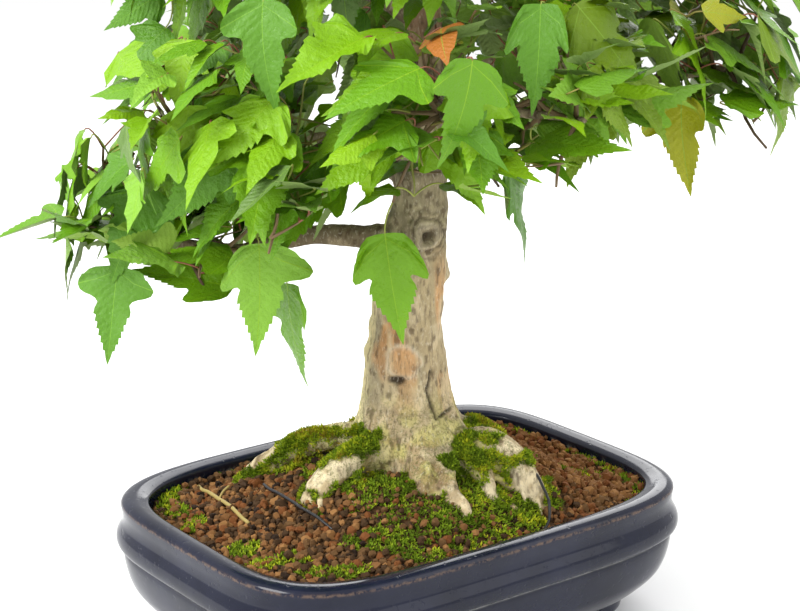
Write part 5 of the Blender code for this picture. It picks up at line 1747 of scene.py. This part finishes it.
def show_boughs(leaves):
    """Leaves in front of the two lowest boughs lift until they lie along the line of sight."""
    for row in BOUGHS:
        if row[0] not in ("low_left", "low_right"):
            continue
        line = through(bough_path(row)[0], np.linspace(0.2, 1, 30))
        shown = np.stack([line @ RIGHT / MM, line[:, 2] / MM - (line @ NEAR / MM) * CAMERA_SLOPE], axis=-1)
        for leaf in leaves:
            middle = np.array(tuple(leaf.base + leaf.heading * leaf.length * 0.45))
            away = np.linalg.norm(shown - [middle @ RIGHT / MM, shown_height(middle)], axis=1).min()
            if away < 15 and middle @ NEAR > 0 and not leaf.hangs:
                sideways = vector(RIGHT) * (leaf.heading.dot(vector(RIGHT)) + 0.01)
                rise = UP * (CAMERA_SLOPE * 0.8 + 0.12)
                leaf.heading = (vector(NEAR) * 0.8 + sideways * 0.6 + rise).normalized()
                leaf.face = square_to(UP, leaf.heading)


def show_scar(leaves):
    """Leaves that would hang over the trunk's large scar turn away, each to its own side of it."""
    for leaf in leaves:
        for share in (0.4, 0.75):
            low = np.array(tuple(leaf.base + leaf.heading * leaf.length * share))
            right, over = low @ RIGHT / MM - EYE[0], shown_height(low) - EYE[1] + 2
            window = 27 if over < 34 else 17
            if low @ NEAR > 12 * MM and abs(right + 2) < window and -34 < over < 90 and not leaf.hangs:
                side = vector(RIGHT) * math.copysign(0.9, right)
                leaf.heading = (side + vector(NEAR) * 0.5 - UP * 0.1 + leaf.heading * 0.3).normalized()
                leaf.face = square_to(leaf.face + UP * 0.8, leaf.heading)


def keep_in_reach(leaves):
    """Leaves whose tips have turned past the solids' box bend back into it."""
    low, high = np.array(CAD_BOX) - MIDDLE
    for leaf in leaves:
        for _ in range(5):
            tip = np.array(tuple(leaf.base + leaf.heading * leaf.length))
            past = np.clip(tip - high + 2 * MM, 0, None) - np.clip(low + 2 * MM - tip, 0, None)
            if past.any():
                leaf.heading = (leaf.heading - vector(past) / leaf.length * 1.2).normalized()
                leaf.face = square_to(leaf.face, leaf.heading)


def build_foliage(sizes, colours):
    """Leaves of each mass as one closed mesh, then all the twigs as one and all the stalks as one."""
    masses = grow_masses(sizes)
    palette = leaf_colours(colours)
    finishes = []
    for name, colour in palette:
        under = name.startswith("under")
        finishes.append(leaf_finish(name, np.clip(colour, 0, 1),
                                    *((0.55, 0.7, 1.6) if under else (0.26, 0.5, 1.0))))
    detailed = leaf_template(BLADE_ROWS, (0.5,), VEIN_ROW)
    plain = leaf_template([BLADE_ROWS[k] for k in PLAIN_ROWS], (), PLAIN_ROWS.index(VEIN_ROW))
    everything = [leaf for mass in masses for leaf in mass.leaves]
    level_hem(everything)
    show_boughs(everything)
    show_scar(everything)
    keep_in_reach(everything)
    found = [tint_kinds(mass.leaves) for mass in masses]
    kinds, middles = np.concatenate([k for k, _ in found]), np.concatenate([m for _, m in found])
    turn_leaves(middles, kinds)
    for leaf, kind in zip(everything, kinds):
        leaf.kind = int(kind)
    for mass in masses:
        rng = np.random.default_rng(mass.space.seed)
        parts, uvs, materials = [], [], []
        for fine, template in ((False, detailed), (True, plain)):
            leaves = [leaf for leaf in mass.leaves if leaf.fine == fine]
            if not leaves:
                continue
            plan, _, faces, face_kinds = template
            kind = np.array([leaf.kind for leaf in leaves])[:, None]
            rib = np.where(kind < 2, 12, np.where(kind < 7, 11, 14))
            lower = np.where(np.isin(kind, (5, 6, 8, 9)), 14, 13)
            points = blades(leaves, template, rng).reshape(-1, 3)
            parts.append((points, repeat_faces(faces, len(leaves), len(plan))))
            uvs.append(np.tile(plan + [0.5, 0], (len(leaves), 1)))
            materials.append(np.choose(face_kinds[None], [kind, rib, lower]).ravel())
        points, faces = join_parts(parts)
        name = mass.space.name
        mesh = new_mesh(f"foliage_{name}", points + MIDDLE, faces, uv=np.concatenate(uvs),
                        kinds=np.concatenate(materials))
        new_piece(f"foliage_{name}", mesh, finishes, [f"leaves_{name}"], sharp=70)
    build_twigs(masses)
    build_stalks(masses)


def twig_lines(masses):
    """Bent centre lines of all the twigs, as an array, with a sway that is nothing at each root."""
    rows = [(twig[0], twig[1]) for mass in masses for twig in mass.twigs]
    ends = np.array([[tuple(a), tuple(b)] for a, b in rows])
    rng = np.random.default_rng(23)
    t = np.linspace(0, 1, 7)[None, :, None]
    line = ends[:, :1] + (ends[:, 1:] - ends[:, :1]) * t
    sway = rng.normal(size=(len(rows), 2, 3)) * [1, 1, 0.7]
    reach = np.linalg.norm(ends[:, 1] - ends[:, 0], axis=1)[:, None, None]
    bent = sway[:, :1] * np.sin(math.pi * t) * 0.035 + sway[:, 1:] * np.sin(TURN * t) * 0.02
    return line + bent * reach


def build_twigs(masses):
    """Twigs as one mesh: circles that taper along bent lines, thicker on first twigs than on side twigs."""
    lines = twig_lines(masses)
    thick = np.array([twig[2] for mass in masses for twig in mass.twigs])[:, None]
    radii = (1.45 - 0.75 * np.linspace(0, 1, 7)[None]) * thick * MM
    points, faces = tubes(lines, radii, 7)
    tones = [twig_finish("twig_brown", srgb(112, 92, 62)), twig_finish("twig_green", srgb(124, 128, 58)),
             twig_finish("twig_dark", srgb(84, 66, 46))]
    rng = np.random.default_rng(5)
    tone = np.where(thick[:, 0] > 0.8, rng.choice([0, 2, 0], len(thick)), rng.choice([0, 1, 1], len(thick)))
    per_twig = len(faces) // len(lines)
    mesh = new_mesh("twigs", points + MIDDLE, outward(points, faces), kinds=np.repeat(tone, per_twig))
    new_piece("twigs", mesh, tones)


def build_stalks(masses):
    """Leaf stalks as one mesh: each a thin arch from its place on the bent twig to the foot of its blade."""
    lines, starts, t = twig_lines(masses), [], np.linspace(0, 1, 6)[None, :, None]
    first = 0
    for mass in masses:
        for leaf in mass.leaves:
            path = lines[first + leaf.twig]
            span = leaf.share * (len(path) - 1)
            k = min(int(span), len(path) - 2)
            starts.append(path[k] + (path[k + 1] - path[k]) * (span - k))
        first += len(mass.twigs)
    leaves = [leaf for mass in masses for leaf in mass.leaves]
    starts = np.array(starts)
    ends = np.array([tuple(leaf.base + leaf.heading * leaf.length * 0.012) for leaf in leaves])
    heading = np.array([tuple(leaf.heading) for leaf in leaves])
    reach = np.linalg.norm(ends - starts, axis=1)[:, None]
    knee = ends - heading * reach * 0.42 + [0, 0, 0.6 * MM]
    starts, knee, ends = starts[:, None], knee[:, None], ends[:, None]
    path = starts * (1 - t) ** 2 + 2 * knee * t * (1 - t) + ends * t**2
    radii = np.full(path.shape[:2], 0.42 * MM) * (1.3 - 0.4 * t[..., 0])
    points, faces = tubes(path, radii, 5)
    tones = [twig_finish("stalk_green", srgb(150, 160, 70)), twig_finish("stalk_red", srgb(146, 92, 70)),
             twig_finish("stalk_olive", srgb(132, 122, 58))]
    tone = np.array([int(leaf.tint * 97) % 3 for leaf in leaves])
    mesh = new_mesh("leaf_stalks", points + MIDDLE, outward(points, faces),
                    kinds=np.repeat(tone, len(faces) // len(leaves)))
    new_piece("leaf_stalks", mesh, tones)


# ------------------------------------------------------------------ stage

CAMERA_PLACE = (-0.6578, -0.8729, 0.493)


def build_stage(stage):
    """Pale floor, soft white surroundings, two soft boxes and the camera."""
    reach = 14.0
    mesh = bpy.data.meshes.new("floor")
    mesh.from_pydata([(-reach, -reach, 0), (reach, -reach, 0), (reach, reach, 0), (-reach, reach, 0)], [],
                     [(0, 1, 2, 3)])
    floor = bpy.data.objects.new("floor", mesh)
    bpy.context.scene.collection.objects.link(floor)
    mesh.materials.append(finish("floor", (0.95, 0.95, 0.95), 1.0, Specular_IOR_Level=0.0)[0])
    world = bpy.data.worlds.new("studio")
    bpy.context.scene.world = world
    world.use_nodes = True
    world.node_tree.nodes["Background"].inputs[0].default_value = (1, 1, 1, 1)
    world.node_tree.nodes["Background"].inputs[1].default_value = stage.surround
    add_light("key", spot(-1250, 700, 1250), 1.0, stage.key_power)
    add_light("fill", spot(1200, 500, 900), 1.4, stage.fill_power)
    add_light("back", spot(300, -1500, 1100), 1.2, stage.back_power)
    camera = bpy.data.cameras.new("camera")
    camera.lens, camera.sensor_width = 89.5, 36
    camera.clip_start, camera.clip_end = 0.01, 50
    holder = bpy.data.objects.new("camera", camera)
    holder.location = Vector(CAMERA_PLACE) + Vector(MIDDLE)
    holder.rotation_euler = (math.radians(CAMERA_PITCH), 0, math.radians(VIEW_BEARING))
    bpy.context.scene.collection.objects.link(holder)
    bpy.context.scene.camera = holder
    bpy.context.scene.view_settings.view_transform = "Standard"


def add_light(name, place, size, power):
    lamp = bpy.data.lights.new(name, "AREA")
    lamp.shape, lamp.size, lamp.energy = "DISK", size, power
    holder = bpy.data.objects.new(name, lamp)
    target = Vector((*MIDDLE[:2], 0.25))
    holder.location = Vector(place) + Vector(MIDDLE)
    holder.rotation_euler = (target - holder.location).to_track_quat("-Z", "Y").to_euler()
    bpy.context.scene.collection.objects.link(holder)


def outward(points, faces):
    """The same faces, turned round where the closed shape that they make has a negative volume."""
    first = np.asarray(points)[faces[:, 0]]
    second, third = np.asarray(points)[faces[:, 1]], np.asarray(points)[faces[:, 2]]
    volume = np.einsum("ij,ij->i", first, np.cross(second, third)).sum()
    quad = faces[:, 3] >= 0
    fourth = np.asarray(points)[faces[quad, 3]]
    volume += np.einsum("ij,ij->i", first[quad], np.cross(third[quad], fourth)).sum()
    return faces if volume > 0 else faces[:, ::-1]


# ------------------------------------------------------------------ properties, operators and panel


class PotSizes(bpy.types.PropertyGroup):
    length: FloatProperty(name="Length", description="Length of the rim", default=0.3, unit="LENGTH")
    width: FloatProperty(name="Width", description="Width of the rim", default=0.225, unit="LENGTH")
    height: FloatProperty(name="Height", description="Height of the rim over the ground", default=0.08,
                          unit="LENGTH")
    foot_inset: FloatProperty(name="Foot inset", description="From the rim's edge in to a corner foot",
                              default=0.024,
                              unit="LENGTH")
    foot_sweep: FloatProperty(name="Foot sweep", description="Half the angle that a corner foot spans",
                              default=math.radians(15), subtype="ANGLE")
    drain_radius: FloatProperty(name="Drain radius", description="Radius of a drain hole", default=0.011,
                                unit="LENGTH")
    drain_spacing: FloatProperty(name="Drain spacing", description="Between the drain holes", default=0.13,
                                 unit="LENGTH")
    granule: FloatProperty(name="Granule", description="Mean radius of a clay granule", default=0.0023,
                           unit="LENGTH")
    moss_spacing: FloatProperty(name="Moss spacing", description="Between moss sprigs", default=0.0016,
                                unit="LENGTH")
    moss_length: FloatProperty(name="Moss length", description="Length of a moss leaflet", default=0.0028,
                               unit="LENGTH")


class TreeSizes(bpy.types.PropertyGroup):
    wood_voxel: FloatProperty(name="Wood detail", description="Mesh size of the trunk and boughs",
                              default=0.00115,
                              precision=5, unit="LENGTH")
    fill_leaves: IntProperty(name="Fill leaves", description="Smaller leaves added to each mass", default=50,
                             min=0)


class PlantColours(bpy.types.PropertyGroup):
    glaze: FloatVectorProperty(name="Glaze", description="Pot's glaze", subtype="COLOR",
                               default=(0.006, 0.0075, 0.018))
    worn_rim: FloatVectorProperty(name="Worn rim", description="Worn line round the lip", subtype="COLOR",
                                  default=(0.13, 0.085, 0.06))
    worn_step: FloatVectorProperty(name="Worn step", description="Worn line under the bulge", subtype="COLOR",
                                   default=(0.26, 0.26, 0.25))
    grit: FloatVectorProperty(name="Grit", description="Clay granules", subtype="COLOR",
                              default=(0.138, 0.07, 0.026))
    moss: FloatVectorProperty(name="Moss", description="Moss", subtype="COLOR", default=(0.27, 0.36, 0.016))
    bark: FloatVectorProperty(name="Bark", description="Lower trunk", subtype="COLOR",
                              default=(0.47, 0.37, 0.21))
    leaf: FloatVectorProperty(name="Leaf", description="Usual leaf", subtype="COLOR",
                              default=(0.152, 0.342, 0.006))
    leaf_deep: FloatVectorProperty(name="Deep leaf", description="Darkest leaf", subtype="COLOR",
                                   default=(0.088, 0.235, 0.01))
    leaf_lime: FloatVectorProperty(name="Lime leaf", description="Brightest leaf", subtype="COLOR",
                                   default=(0.225, 0.435, 0.004))


class StageSettings(bpy.types.PropertyGroup):
    surround: FloatProperty(name="Surround", description="Strength of the white surroundings", default=1.0,
                            min=0)
    key_power: FloatProperty(name="Key light", description="Soft box on the left", default=34.0, min=0)
    fill_power: FloatProperty(name="Fill light", description="Soft box on the right", default=6.0, min=0)
    back_power: FloatProperty(name="Back light", description="Soft box behind", default=14.0, min=0)


class BONSAI_OT_stage(bpy.types.Operator):
    """Set up the floor, the lights and the camera"""

    bl_idname = "bonsai.stage"
    bl_label = "Stage"

    def execute(self, context):
        build_stage(context.scene.bonsai_stage)
        return {"FINISHED"}


class BONSAI_OT_pot(bpy.types.Operator):
    """Make the glazed pot and its corner feet"""

    bl_idname = "bonsai.pot"
    bl_label = "Pot"

    def execute(self, context):
        build_pot(context.scene.bonsai_pot, context.scene.bonsai_colours)
        return {"FINISHED"}


class BONSAI_OT_wood(bpy.types.Operator):
    """Make the trunk, its surface roots and the boughs"""

    bl_idname = "bonsai.wood"
    bl_label = "Trunk and boughs"

    def execute(self, context):
        build_wood(context.scene.bonsai_tree, context.scene.bonsai_colours)
        return {"FINISHED"}


class BONSAI_OT_ground(bpy.types.Operator):
    """Make the bed of grit and its loose granules"""

    bl_idname = "bonsai.ground"
    bl_label = "Grit"

    def execute(self, context):
        build_ground(context.scene.bonsai_pot, context.scene.bonsai_colours)
        build_granules(context.scene.bonsai_pot, context.scene.bonsai_colours)
        return {"FINISHED"}


class BONSAI_OT_moss(bpy.types.Operator):
    """Make the moss over the ground and up the roots; the trunk comes first"""

    bl_idname = "bonsai.moss"
    bl_label = "Moss"

    def execute(self, context):
        build_moss(context.scene.bonsai_pot, context.scene.bonsai_colours)
        return {"FINISHED"}


class BONSAI_OT_small_things(bpy.types.Operator):
    """Make the tie wire and the dry twig that lie on the grit"""

    bl_idname = "bonsai.small_things"
    bl_label = "Wire and dry twig"

    def execute(self, context):
        build_small_things()
        return {"FINISHED"}


class BONSAI_OT_foliage(bpy.types.Operator):
    """Grow the twigs, the stalks and the leaves of every mass"""

    bl_idname = "bonsai.foliage"
    bl_label = "Foliage"

    def execute(self, context):
        build_foliage(context.scene.bonsai_tree, context.scene.bonsai_colours)
        return {"FINISHED"}


class BONSAI_PT_sidebar(bpy.types.Panel):
    bl_label = "Trident maple bonsai"
    bl_idname = "BONSAI_PT_sidebar"
    bl_space_type = "VIEW_3D"
    bl_region_type = "UI"
    bl_category = "Bonsai"

    def draw(self, context):
        for group in SETTINGS:
            settings = getattr(context.scene, group)
            box = self.layout.box()
            for name in settings.bl_rna.properties.keys():
                if name not in ("rna_type", "name"):
                    box.prop(settings, name)
        for operator in OPERATORS:
            self.layout.operator(operator.bl_idname)


OPERATORS = (BONSAI_OT_stage, BONSAI_OT_pot, BONSAI_OT_wood, BONSAI_OT_ground, BONSAI_OT_moss,
             BONSAI_OT_small_things, BONSAI_OT_foliage)
SETTINGS = {"bonsai_pot": PotSizes, "bonsai_tree": TreeSizes, "bonsai_colours": PlantColours,
            "bonsai_stage": StageSettings}


def register():
    for made in (*SETTINGS.values(), *OPERATORS, BONSAI_PT_sidebar):
        bpy.utils.register_class(made)
    for name, group in SETTINGS.items():
        setattr(bpy.types.Scene, name, PointerProperty(type=group))


def unregister():
    for name in SETTINGS:
        delattr(bpy.types.Scene, name)
    for made in (BONSAI_PT_sidebar, *OPERATORS, *SETTINGS.values()):
        bpy.utils.unregister_class(made)


def main():
    register()
    bpy.ops.bonsai.stage()
    bpy.ops.bonsai.pot()
    bpy.ops.bonsai.wood()
    bpy.ops.bonsai.ground()
    bpy.ops.bonsai.moss()
    bpy.ops.bonsai.small_things()
    bpy.ops.bonsai.foliage()


if __name__ == "__main__":
    main()
